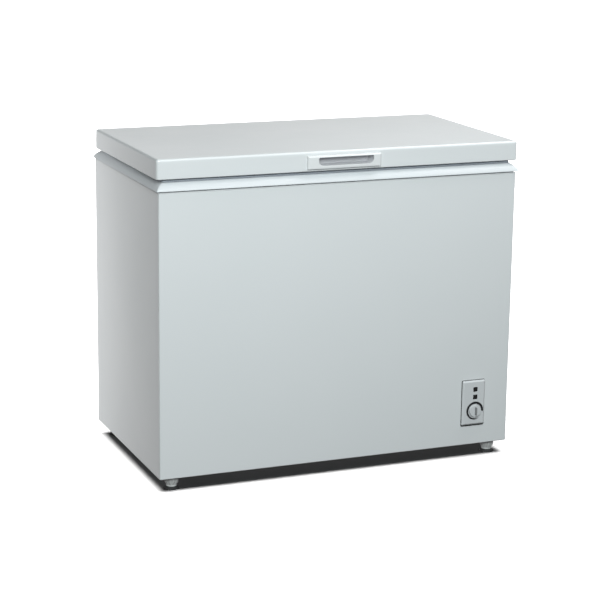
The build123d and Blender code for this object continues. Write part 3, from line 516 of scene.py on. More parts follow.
class Shape:
    """A mesh in the making."""

    def __init__(self) -> None:
        """Starts empty."""
        self.mesh = bmesh.new()

    @contextmanager
    def placed(self, facing: Facing = Facing.UP, shift: Point = (0.0, 0.0, 0.0)) -> Iterator[None]:
        """What is made inside is stood up as facing says, and then shifted.

        Args:
            facing: The way that local Z points.
            shift: A move after the turn.

        Yields:
            Nothing.
        """
        known = set(self.mesh.verts)
        yield
        fresh = [vert for vert in self.mesh.verts if vert not in known]
        bmesh.ops.transform(self.mesh, matrix=Matrix.Translation(shift) @ facing.matrix(), verts=fresh)

    def block(self, low: Point, high: Point) -> None:
        """A box between two corners."""
        centre = (Vector(low) + Vector(high)) / 2
        size = Vector(high) - Vector(low)
        bmesh.ops.create_cube(self.mesh, size=1.0, matrix=Matrix.LocRotScale(centre, None, size))

    def loop(self, ring: Ring, steps: int) -> list[Edge]:
        """Draws one ring.

        Args:
            ring: Its size and place.
            steps: Segments in each rounded corner.

        Returns:
            The ring's edges.
        """
        known = set(self.mesh.faces)
        centre = Vector(((ring.low[0] + ring.high[0]) / 2, (ring.low[1] + ring.high[1]) / 2, ring.height))
        size = Vector((ring.high[0] - ring.low[0], ring.high[1] - ring.low[1], 1.0))
        made = bmesh.ops.create_grid(
            self.mesh, x_segments=1, y_segments=1, size=0.5, matrix=Matrix.LocRotScale(centre, None, size)
        )
        for upper in (False, True):
            corners = [vert for vert in made["verts"] if vert.is_valid and (vert.co.y > centre.y) == upper]
            bmesh.ops.bevel(
                self.mesh, geom=corners, affect="VERTICES", offset=ring.corner(upper), offset_type="OFFSET",
                segments=steps, profile=0.5, material=-1,
            )
        fresh = [face for face in self.mesh.faces if face not in known]
        edges = list(fresh[0].edges)
        bmesh.ops.delete(self.mesh, geom=fresh, context="FACES_ONLY")
        return edges

    def rings(self, rings: Sequence[Ring], ends: Ends = Ends.OPEN, steps: int = 5) -> None:
        """Skins a stack of rings.

        Args:
            rings: The rings in order.
            ends: What closes the stack.
            steps: Segments in each rounded corner.
        """
        edges = self.loop(rings[0], steps)
        first = self.verts_of(edges)
        if ends is Ends.BOTH:
            bmesh.ops.edgeloop_fill(self.mesh, edges=edges)
        route = [*rings, rings[0]] if ends is Ends.LOOP else rings
        for here, there in zip(route, route[1:]):
            edges = self.run_on(edges, Vector())
            for vert in self.verts_of(edges):
                vert.co = here.carry(vert.co, there)
        if ends is Ends.LOOP:
            bmesh.ops.remove_doubles(self.mesh, verts=first + self.verts_of(edges), dist=MERGE_WITHIN)
        elif ends is not Ends.OPEN:
            bmesh.ops.edgeloop_fill(self.mesh, edges=edges)

    def prism(self, outline: Sequence[Point], low: float, high: float) -> None:
        """Raises an outline in local X and Y from one height to another."""
        face = self.mesh.faces.new([self.mesh.verts.new((x, y, low)) for x, y in outline])
        moved = only(Vert, bmesh.ops.extrude_face_region(self.mesh, geom=[face])["geom"])
        bmesh.ops.translate(self.mesh, verts=moved, vec=(0, 0, high - low))

    def lathe(self, profile: Sequence[Point], centre: Point = (0.0, 0.0), steps: int = 40) -> None:
        """Turns a profile round local Z.

        Args:
            profile: Pairs of radius and height.
            centre: Where the axis stands.
            steps: Steps in the full turn.
        """
        x, y = centre
        verts = [self.mesh.verts.new((x + radius, y, height)) for radius, height in profile]
        edges = [self.mesh.edges.new(pair) for pair in zip(verts, verts[1:])]
        bmesh.ops.spin(
            self.mesh, geom=verts + edges, cent=(x, y, 0), axis=(0, 0, 1), dvec=(0, 0, 0),
            angle=FULL_TURN, steps=steps, use_merge=True,
        )

    def section(self, centre: Vector, heading: Vector, radius: float, sides: int) -> list[Edge]:
        """Draws a round bar's section square to its heading.

        Args:
            centre: The section's centre.
            heading: The way that the bar runs.
            radius: The bar's radius.
            sides: Sides of the section.

        Returns:
            The section's edges.
        """
        turn = heading.to_track_quat("Z", "Y").to_matrix().to_4x4()
        stood = Matrix.Translation(centre) @ turn
        made = bmesh.ops.create_circle(self.mesh, cap_ends=False, radius=radius, segments=sides, matrix=stood)
        return list({edge for vert in made["verts"] for edge in vert.link_edges})

    def bar(self, points: Sequence[Point], radius: float, bend: float, closed: bool = False,
            sides: int = 8) -> None:
        """A round bar along straight runs joined by arcs.

        Args:
            points: The corners of its route.
            radius: The bar's radius.
            bend: The radius of its centre line in the bends.
            closed: Whether it comes back to its start.
            sides: Sides of its section.
        """
        path = [Vector(point) for point in points]
        start = (path[0] + path[1]) / 2 if closed else path[0]
        corners = path[1:] + path[:1] if closed else path[1:-1]
        goals = path[2:] + path[:2] if closed else path[2:]
        goals[len(corners) - 1:] = [start if closed else path[-1]]
        heading = (corners[0] - start if corners else path[-1] - start).normalized()
        ends = self.section(start, heading, radius, sides)
        first, at = list(ends), start
        for corner, goal in zip(corners, goals):
            onward = (goal - corner).normalized()
            turn = heading.angle(onward)
            before = corner - heading * bend * math.tan(turn / 2)
            ends = self.run_on(ends, before - at)
            centre = before + (onward - heading * heading.dot(onward)).normalized() * bend
            spun = bmesh.ops.spin(
                self.mesh, geom=ends + self.verts_of(ends), cent=centre, axis=heading.cross(onward),
                dvec=(0, 0, 0), angle=turn, steps=max(2, round(turn / math.radians(18))),
            )
            ends = only(Edge, spun["geom_last"])
            heading, at = onward, corner + onward * bend * math.tan(turn / 2)
        ends = self.run_on(ends, (start if closed else path[-1]) - at)
        if not closed:
            bmesh.ops.edgeloop_fill(self.mesh, edges=first)
            bmesh.ops.edgeloop_fill(self.mesh, edges=ends)

    def run_on(self, edges: list[Edge], move: Vector) -> list[Edge]:
        """Extrudes a section along a straight run and returns the far section's edges."""
        grown = bmesh.ops.extrude_edge_only(self.mesh, edges=edges)["geom"]
        moved = only(Vert, grown)
        bmesh.ops.translate(self.mesh, verts=moved, vec=move)
        far = set(moved)
        return [edge for edge in only(Edge, grown) if far.issuperset(edge.verts)]

    def swell(self, known: set[Vert], centre: Point,
              factor: Callable[[float, float, float], float]) -> None:
        """Scales the newer vertices' distances from an upright axis.

        Args:
            known: The vertices that stay where they are.
            centre: Where the axis stands.
            factor: The scale at a distance, a bearing and a height.
        """
        for vert in [vert for vert in self.mesh.verts if vert not in known]:
            out = Vector((vert.co.x - centre[0], vert.co.y - centre[1]))
            scale = factor(out.length, math.atan2(out.y, out.x), vert.co.z)
            if scale != 1.0:
                vert.co.x, vert.co.y = centre[0] + out.x * scale, centre[1] + out.y * scale

    @staticmethod
    def verts_of(edges: Sequence[Edge]) -> list[Vert]:
        """Every vertex of the edges, once each, in order."""
        return list(dict.fromkeys(vert for edge in edges for vert in edge.verts))

    def bevel(self, chosen: Callable[[Edge], bool], width: float, segments: int = 3) -> None:
        """Rounds the chosen edges.

        Args:
            chosen: Says which edges.
            width: The round's radius.
            segments: Its segments.
        """
        self.mesh.normal_update()
        edges = [edge for edge in self.mesh.edges if chosen(edge)]
        bmesh.ops.bevel(
            self.mesh, geom=edges, affect="EDGES", offset=width, offset_type="OFFSET", segments=segments,
            profile=0.5, material=-1, clamp_overlap=True,
        )

    def cut(self, place: Point, normal: Point, faces: Sequence[Face] | None = None,
            drop: bool = False) -> None:
        """Cuts along a plane.

        Args:
            place: A point of the plane.
            normal: Its normal.
            faces: The faces it may cut, or none for all.
            drop: Whether what lies on the normal's side goes, and the cut is closed.
        """
        faces = list(self.mesh.faces) if faces is None else list(faces)
        edges = list(dict.fromkeys(edge for face in faces for edge in face.edges))
        made = bmesh.ops.bisect_plane(
            self.mesh, geom=faces + edges + self.verts_of(edges), dist=ON_PLANE, plane_co=place,
            plane_no=normal, clear_outer=drop,
        )
        if drop:
            bmesh.ops.edgeloop_fill(self.mesh, edges=only(Edge, made["geom_cut"]))

    def window(self, low: Point, high: Point, side: Point) -> None:
        """Cuts away what looks towards a side, within a box.

        Args:
            low: The box's low corner.
            high: Its high corner.
            side: The direction that the cut faces look in.
        """
        outward = Vector(side)

        def facing() -> list[Face]:
            """The faces that look towards the side."""
            bmesh.ops.recalc_face_normals(self.mesh, faces=self.mesh.faces)
            return [face for face in self.mesh.faces if face.normal.dot(outward) > 0.2]

        for axis in (axis for axis in range(3) if abs(outward[axis]) < 0.5):
            normal = [float(axis == other) for other in range(3)]
            for place in (low[axis], high[axis]):
                self.cut([value * place for value in normal], normal, facing())
        gone = [
            face for face in facing()
            if all(low[axis] <= face.calc_center_median()[axis] <= high[axis] for axis in range(3))
        ]
        bmesh.ops.delete(self.mesh, geom=gone, context="FACES")

    def piece(self, name: str, finish: "Finish | PrintedScale", body: str, replaces: Sequence[str] = (),
              wall: float = 0.0, sharp: float = 32.0, cavity: bool = False) -> bpy.types.Object:
        """Finishes the shape as a named piece that rides on a body.

        Args:
            name: The piece's name.
            finish: Its finish.
            body: The body that it rides on.
            replaces: The nodes that it stands for.
            wall: The thickness that an open skin gets, inwards.
            sharp: Edges sharper than this many degrees stay crisp.
            cavity: Whether the skin is a cavity's, whose faces look away from its hollow.

        Returns:
            The new object.
        """
        bmesh.ops.remove_doubles(self.mesh, verts=self.mesh.verts, dist=MERGE_WITHIN)
        bmesh.ops.recalc_face_normals(self.mesh, faces=self.mesh.faces)
        if cavity:
            bmesh.ops.reverse_faces(self.mesh, faces=self.mesh.faces)
        mesh = bpy.data.meshes.new(name)
        self.mesh.to_mesh(mesh)
        self.mesh.free()
        mesh.shade_smooth()
        mesh.set_sharp_from_angle(angle=math.radians(sharp))
        mesh.materials.append(finish.material())
        made = bpy.data.objects.new(name, mesh)
        bpy.context.scene.collection.objects.link(made)
        if wall:
            skin = made.modifiers.new("wall", "SOLIDIFY")
            skin.thickness = wall
            skin.offset = -1.0
        weighted = made.modifiers.new("flat faces stay flat", "WEIGHTED_NORMAL")
        weighted.keep_sharp = True
        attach(made, body)
        if replaces:
            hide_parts(*replaces)
        return made


def plan(node: str) -> Ring:
    """A node's plan at its lowest height, with square corners."""
    low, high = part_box(node)
    return Ring((low.x, low.y), (high.x, high.y), low.z, SQUARE_CORNER)


def elevation(node: str, facing: Facing) -> Ring:
    """A node's outline seen from its side, in the flat frame that facing stands up.

    Args:
        node: The CAD node.
        facing: Which side it is seen from.

    Returns:
        The outline, at the height where the node ends outwards.
    """
    back = facing.matrix().inverted()
    corners = [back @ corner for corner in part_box(node)]
    low = [min(corner[axis] for corner in corners) for axis in range(3)]
    high = [max(corner[axis] for corner in corners) for axis in range(3)]
    return Ring((low[0], low[1]), (high[0], high[1]), high[2], SQUARE_CORNER)


# Cabinet


@dataclass
class Cabinet:
    """The folded sheet of the front and sides.

    Attributes:
        corner: Radius of its upright front corners.
        fold: Radius of its other folds.
        top_flange: Width of the flange under the collar.
        bottom_flange: Width of the flange underneath.
        rear_flange: Width of the flange behind the back panel.
        rim: How far a fitted cover overlaps its hole.
    """

    corner: float = 4.0 * MM
    fold: float = 2.0 * MM
    top_flange: float = 12.0 * MM
    bottom_flange: float = 14.0 * MM
    rear_flange: float = 16.0 * MM
    rim: float = 5.0 * MM

    def build(self) -> None:
        """Makes the wrap with its flanges and its two holes."""
        low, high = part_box("cabinet_wrap")
        shape = Shape()
        shape.block(low, high)

        def is_front_corner(edge: Edge) -> bool:
            """Whether an edge is an upright one at the front."""
            upright = abs(edge.verts[0].co.z - edge.verts[1].co.z) > self.corner
            return upright and all(vert.co.y < 0 for vert in edge.verts)

        def is_rim(edge: Edge) -> bool:
            """Whether an edge lies along the top, the bottom or the rear."""
            ends = [vert.co for vert in edge.verts]
            return any(
                all(abs(end[axis] - place) < MM / 10 for end in ends)
                for axis, place in ((2, low.z), (2, high.z), (1, high.y))
            ) and is_sharp(edge)

        shape.bevel(is_front_corner, self.corner, 5)
        shape.bevel(is_rim, self.fold, 3)
        self.open_flanges(shape, low, high)
        cover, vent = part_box("control_cover"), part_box("side_grille")
        shape.window(
            (cover[0].x + self.rim, -FAR, cover[0].z + self.rim),
            (cover[1].x - self.rim, 0, cover[1].z - self.rim), (0, -1, 0),
        )
        shape.window(
            (0, vent[0].y + self.rim, vent[0].z + self.rim),
            (FAR, vent[1].y - self.rim, vent[1].z - self.rim), (1, 0, 0),
        )
        shape.piece("cabinet_sheet", ENAMEL, "cabinet", ["cabinet_wrap"], wall=SHEET)

    def open_flanges(self, shape: Shape, low: Vector, high: Vector) -> None:
        """Opens the top, bottom and rear, and leaves their flanges.

        Args:
            shape: The closed box.
            low: Its low corner.
            high: Its high corner.
        """
        for width, z_range, side in (
            (self.top_flange, (high.z - self.corner, FAR), (0, 0, 1)),
            (self.bottom_flange, (-FAR, low.z + self.corner), (0, 0, -1)),
        ):
            corner = (low.x + width, low.y + width, z_range[0])
            shape.window(corner, (high.x - width, FAR, z_range[1]), side)
        width = self.rear_flange
        shape.window((low.x + width, 0, -FAR), (high.x - width, FAR, FAR), (0, 1, 0))


@dataclass
class Tub:
    """The embossed liner with the step over the compressor.

    Attributes:
        corner: Radius of its corners.
        wall: The liner's thickness.
        rim: How wide its flange is.
    """

    corner: float = 14.0 * MM
    wall: float = 0.6 * MM
    rim: float = 11.0 * MM

    def build(self) -> None:
        """Makes the stepped tub and its flange."""
        low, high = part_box("inner_liner")
        low_x, high_x = low.x + self.rim, high.x - self.rim
        half_y = high.y - self.rim
        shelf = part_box("compartment_liner")
        insulation = low.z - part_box("base_pan")[1].z
        step_x, step_z = shelf[0].x - insulation, shelf[1].z + insulation
        shape = Shape()
        outline = [
            (low_x, high.z), (low_x, low.z), (step_x, low.z), (step_x, step_z), (high_x, step_z),
            (high_x, high.z),
        ]
        with shape.placed(Facing.FRONT):
            shape.prism(outline, -half_y, half_y)
        mouth = [face for face in shape.mesh.faces if all(vert.co.z > high.z - MM for vert in face.verts)]
        bmesh.ops.delete(shape.mesh, geom=mouth, context="FACES_ONLY")
        shape.bevel(is_sharp, self.corner, 5)
        mouth_edges = [edge for edge in shape.mesh.edges if edge.is_boundary]
        moved = only(Vert, bmesh.ops.extrude_edge_only(shape.mesh, edges=mouth_edges)["geom"])
        widen = Matrix.Diagonal((high.x / high_x, high.y / half_y, 1.0, 1.0))
        bmesh.ops.transform(shape.mesh, matrix=widen, verts=moved)
        shape.piece("tub_liner", STUCCO_LINER, "cabinet", ["inner_liner"], wall=self.wall, cavity=True)


@dataclass
class Collar:
    """The moulded collar round the mouth, in four mitred rails.

    Attributes:
        flat_start: Offset from the cabinet's face where the flat top starts.
        flat_end: Offset where it ends.
        ledge: Offsets of the ledge that carries the basket.
        ledge_drop: How far the ledge lies under the top.
        lip: Offsets of the lip's faces.
        tip: Offset and drop of the drip edge's tip.
        shoulder: A point of the bevel's curve, halfway along.
        nose: Where the curve ends, above the tip.
        rear_drop: How far down the rear rail's slope reaches.
        corner: Radius of the collar's outer corners.
        lip_corner: Radius of the lip's corners.
        hollow: Offset of the hollow behind the drip edge, and its height over the rail's foot.
        tip_width: Width of the drip edge's flat, and of the flat with its slope.
    """

    flat_start: float = -13.3 * MM
    flat_end: float = -50.0 * MM
    ledge: Point = (-54.0 * MM, -62.8 * MM)
    ledge_drop: float = 15.0 * MM
    lip: Point = (-60.8 * MM, -62.8 * MM)
    tip: Point = (6.0 * MM, 19.4 * MM)
    shoulder: Point = (-2.6 * MM, 7.4 * MM)
    nose: Point = (5.0 * MM, 16.8 * MM)
    rear_drop: float = 12.0 * MM
    corner: float = 3.0 * MM
    lip_corner: float = 13.0 * MM
    hollow: Point = (-5.0 * MM, 10.0 * MM)
    tip_width: Point = (2.4 * MM, 2.8 * MM)

    def bevel_curve(self, steps: int = 8) -> list[Point]:
        """Offsets and drops along the bevel, an arc through its three points.

        Args:
            steps: Steps along the arc.

        Returns:
            The points, from the flat top outwards.
        """
        start, middle, end = Vector((self.flat_start, 0.0)), Vector(self.shoulder), Vector(self.nose)
        first, second = middle - start, end - middle
        turn = first.angle_signed(second)
        radius = first.length / (2 * math.sin(abs(turn) * first.length / (first.length + second.length)))
        chord = end - start
        outward = Vector((chord.y, -chord.x)).normalized()
        if outward.dot(middle - start) < 0:
            outward = -outward
        half = math.asin(min(1.0, chord.length / 2 / radius))
        centre = (start + end) / 2 - outward * radius * math.cos(half)
        angles = [half * (2 * step / steps - 1) for step in range(steps + 1)]
        along = chord.normalized()
        return [
            tuple(centre + outward * radius * math.cos(angle) + along * radius * math.sin(angle))
            for angle in angles
        ]

    def profile(self, has_tip: bool) -> list[Point]:
        """Offsets and drops round a rail's section.

        Args:
            has_tip: Whether the rail has the drip edge.

        Returns:
            The section's points in order.
        """
        low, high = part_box("collar_front")
        foot = high.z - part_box("cabinet_wrap")[1].z
        bottom = high.z - low.z
        if has_tip:
            flat, slope = self.tip_width
            outer = [
                *self.bevel_curve(), self.tip, (self.tip[0] - flat, self.tip[1]),
                (self.tip[0] - slope, self.tip[1] - slope), (self.hollow[0], foot - self.hollow[1]),
                (self.hollow[0], foot),
            ]
        else:
            outer = [
                (self.flat_start, 0.0), (-0.4 * MM, self.rear_drop - 0.6 * MM), (0.0, self.rear_drop),
                (0.0, foot),
            ]
        return outer + [
            (self.lip[0], foot), (self.lip[0], bottom), (self.lip[1], bottom),
            (self.lip[1], self.ledge_drop + 0.5 * MM), (self.lip[1] + 0.5 * MM, self.ledge_drop),
            (self.ledge[0] - 1.0 * MM, self.ledge_drop), (self.ledge[0], self.ledge_drop - 1.0 * MM),
            (self.flat_end - 0.6 * MM, 1.2 * MM), (self.flat_end + 0.8 * MM, 0.0),
        ]

    def corner_radius(self, offset: float) -> float:
        """The corner's radius at an offset: small outside, and growing from the lip to the mouth's edge."""
        if offset > self.flat_end:
            return self.corner
        return self.lip_corner + (offset - self.lip[0])

    def build(self) -> None:
        """Makes the four rails out of two whole frames."""
        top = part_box("collar_front")[1].z
        low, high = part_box("cabinet_wrap")
        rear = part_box("back_panel")[1].y
        half_x = high.x
        for name, side in (
            ("front", Vector((0, -1, 0))), ("rear", Vector((0, 1, 0))),
            ("left", Vector((-1, 0, 0))), ("right", Vector((1, 0, 0))),
        ):
            shape = Shape()
            rings = [
                Ring((low.x - offset, low.y - offset), (half_x + offset, rear + offset), top - drop,
                     self.corner_radius(offset))
                for offset, drop in self.profile(name != "rear")
            ]
            shape.rings(rings, Ends.LOOP)
            for turn in (-1, 1):
                across = turn * Vector((side.y, side.x, 0))
                corner = side + across
                shape.cut((corner.x * half_x, corner.y * rear, 0), across - side, drop=True)
            if side.x:
                shape.cut((0, rear, 0), (0, 1, 0), drop=True)
            shape.piece(f"collar_{name}_rail", COLLAR_WHITE, "cabinet", [f"collar_{name}"])


# Lid


@dataclass
class Lid:
    """The lid: folded skin, inner panel, seal and handle.

    Attributes:
        corner: Radius of the skin's upright corners.
        edge: Radius of its top edge.
        flange: Width of its return flange.
        plug: Half sizes of the inner panel's plug.
        panel: The inner panel's thickness.
        step: Radius of the round under the plug.
        fields: Inset and rise of each step of the raised fields, in millimetres.
        seal_width: The seal's width.
        recess: The handle recess's left, bottom, right and top.
        recess_back: The recess's rear wall, along Y.
    """

    corner: float = 8.0 * MM
    edge: float = 7.0 * MM
    flange: float = 10.0 * MM
    plug: Point = (414.0 * MM, 196.0 * MM)
    panel: float = 1.5 * MM
    step: float = 4.0 * MM
    fields: Sequence[Point] = ((22.0, 0.0), (3.0, 1.0), (1.5, 0.2))
    seal_width: float = 22.0 * MM
    recess: Point = (-70.0 * MM, 813.6 * MM, 80.0 * MM, 834.0 * MM)
    recess_back: float = -246.0 * MM
    body: str = "lid"

    def build(self) -> None:
        """Makes every piece of the lid."""
        self.skin()
        self.inner_panel()
        self.seal()
        self.handle()

    def skin(self) -> None:
        """The folded steel skin."""
        outline = plan("lid_skin")
        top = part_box("lid_skin")[1].z
        outline = Ring(outline.low, outline.high, outline.height, self.corner)
        bottom, fold = outline.height, 1.2 * MM
        rings = [outline.inset(self.flange, bottom, 4.0 * MM), outline.inset(fold, bottom)]
        rings += [outline.inset(fold * 0.3, bottom + fold * 0.3), outline.inset(0.0, bottom + fold)]
        side_top = top - self.edge
        rings += [outline.inset(inset, side_top + rise) for inset, rise in quarter_round(self.edge, 6)]
        shape = Shape()
        shape.rings(rings, Ends.LAST, steps=6)
        gap = 2.8 * MM
        left, low, right, high = self.recess
        shape.window((left - gap, -FAR, low - gap), (right + gap, 0, high + gap), (0, -1, 0))
        shape.piece("lid_sheet", ENAMEL, self.body, ["lid_skin"], wall=SHEET)

    def inner_panel(self) -> None:
        """The moulded inner face: a plug with three raised fields."""
        outline = plan("lid_inner_panel")
        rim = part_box("lid_inner_panel")[1].z - self.panel
        half_x, half_y = self.plug
        plug = Ring((-half_x, -half_y), (half_x, half_y), rim, 20.0 * MM)
        edge = Ring(outline.low, outline.high, rim, 6.5 * MM)
        lean, knee = 0.6 * MM, outline.height + self.step
        rings = [edge, *plug.steps(rim, (-3.0, 0.0, 23.0), (-1.6, -0.8, 21.6)), plug.inset(lean, knee)]
        rings += [
            plug.inset(lean + inset, knee - rise, plug.radius - inset)
            for inset, rise in quarter_round(self.step, 4)[1:]
        ]
        shape = Shape()
        shape.rings(rings, Ends.LAST, steps=6)
        for x in (-half_x / 3, half_x / 3):
            shape.mesh.normal_update()
            floor = [face for face in shape.mesh.faces if len(face.verts) > 4 and abs(face.normal.z) > 0.99]
            shape.cut((x, 0, 0), (1, 0, 0), floor)
        lowest = outline.height + 0.1 * MM
        fields = [face for face in shape.mesh.faces if face.calc_center_median().z < lowest]
        for inset, rise in self.fields:
            bmesh.ops.inset_individual(shape.mesh, faces=fields, thickness=inset * MM)
            raised = list({vert for face in fields for vert in face.verts})
            bmesh.ops.translate(shape.mesh, verts=raised, vec=(0, 0, rise * MM))
        shape.piece("lid_inner_moulding", COLLAR_WHITE, self.body, ["lid_inner_panel"], wall=self.panel)

    def seal(self) -> None:
        """The magnetic seal: a hollow bulb under a narrow neck and a foot."""
        outline = plan("lid_gasket")
        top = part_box("lid_gasket")[1].z
        inner = self.seal_width
        section = [
            (1.6, 0.0), (0.4, 0.7), (0.0, 1.8), (0.0, 3.6), (0.8, 4.8), (2.6, 5.2), (3.0, 5.8), (2.6, 6.4),
            (0.9, 6.8), (0.2, 7.6), (0.0, 9.6),
        ]
        points = [(inset * MM, rise * MM) for inset, rise in section]
        points += [(inner, top - outline.height), (inner, 3.0 * MM), (inner - 2.0 * MM, 0.0)]
        rings = [
            outline.inset(inset, min(outline.height + rise, top), max(6.0 * MM - 0.1 * inset, 3.0 * MM))
            for inset, rise in points
        ]
        shape = Shape()
        shape.rings(rings, Ends.LOOP)
        shape.piece("lid_seal", SEAL_GREY, self.body, ["lid_gasket"], sharp=50.0)

    def handle(self) -> None:
        """The bezel, rounded over at its ends and top, and the cup that the fingers reach into."""
        bezel = elevation("lid_handle", Facing.FRONT)
        skin = -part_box("lid_skin")[0].y
        front, corner, edge = bezel.height, 1.5 * MM, 1.0 * MM
        ends, underside, crown = 6.5 * MM, 2.2 * MM, 4.2 * MM
        shape = Shape()
        rings = [Ring(bezel.low, bezel.high, height, corner) for height in (skin, skin + edge)]
        for inset, rise in quarter_round(1.0, 5)[1:]:
            low = (bezel.low[0] + ends * inset, bezel.low[1] + underside * inset)
            high = (bezel.high[0] - ends * inset, bezel.high[1] - crown * inset)
            rings.append(Ring(low, high, skin + edge + (front - skin - edge) * rise, corner))
        left, bottom, right, top = self.recess
        mouth = Ring((left, bottom), (right, top), front, 13.0 * MM, 4.0 * MM)
        rings += mouth.steps(front, (-0.7, 0.0, 13.6), (0.0, -0.8), (0.1, -3.0))
        with shape.placed(Facing.FRONT):
            shape.rings(rings, steps=7)
        shape.piece("lid_pull", HANDLE_WHITE, self.body, ["lid_handle"], wall=1.6 * MM, sharp=40.0)
        self.grip_cup(mouth.inset(0.15 * MM, front - 2.6 * MM))

    def grip_cup(self, mouth: Ring) -> None:
        """The cup clipped in behind the bezel; its grey, darker than the bezel's white, is painted shade of
        the recess.

        Args:
            mouth: Its outline at its open end.
        """
        shape = Shape()
        floor = -self.recess_back
        with shape.placed(Facing.FRONT):
            rings = [mouth, *mouth.steps(floor, (0.8, 3.0), (1.6, 0.9), (3.6, 0.0))]
            shape.rings(rings, Ends.LAST, steps=7)
        shape.piece("lid_grip_cup", GRIP_PAINTED_SHADE_GREY, self.body, wall=1.2 * MM, sharp=40.0, cavity=True)


# Hinges and screws


@dataclass
class Screws:
    """Pan-head screws of one kind, turned along Y.

    Attributes:
        name: The piece's name.
        node: The CAD group that they stand for.
        body: The body that they ride on.
        places: X and Z of each screw.
        head: Radius of the head.
        height: How high the head stands.
        shank: Radius of the shank.
        socket: Radius of the cross recess's mouth.
        socket_depth: Depth of the cross recess.
        lobes: How far the cross stands out from its mean radius, as a share of it.
    """

    name: str
    node: str
    body: str
    places: Sequence[Point]
    head: float = 4.5 * MM
    height: float = 2.4 * MM
    shank: float = 2.0 * MM
    socket: float = 1.9 * MM
    socket_depth: float = 1.6 * MM
    lobes: float = 0.45

    def build(self) -> None:
        """Makes each screw's domed head with a cross recess, and its shank."""
        low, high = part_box(self.node)
        shape = Shape()
        crown = high.y
        seat = crown - self.height
        profile = [
            (0.0, low.y), (self.shank * 0.4, low.y), (self.shank, low.y + 2.0 * MM), (self.shank, seat),
            (self.head, seat),
        ]
        profile += [
            (self.head * math.cos(angle), seat + self.height * math.sin(angle))
            for angle in (0.0, 0.35, 0.7, 1.0)
        ]
        profile += [
            (self.socket, crown), (self.socket * 0.9, crown - 0.3 * MM),
            (0.5 * MM, crown + 0.1 * MM - self.socket_depth), (0.0, crown - self.socket_depth),
        ]

        def lobe(radius: float, bearing: float, height: float) -> float:
            """How far the recess's mouth stands out to make a cross."""
            is_mouth = 1.5 * MM < radius < self.shank and height > crown - 0.5 * MM
            return 1.0 + self.lobes * math.cos(4 * bearing) if is_mouth else 1.0

        for place in self.places:
            with shape.placed(Facing.REAR):
                known = set(shape.mesh.verts)
                shape.lathe(profile, place, 24)
                shape.swell(known, place, lobe)
        shape.piece(self.name, ZINC_PLATE, self.body, [self.node])


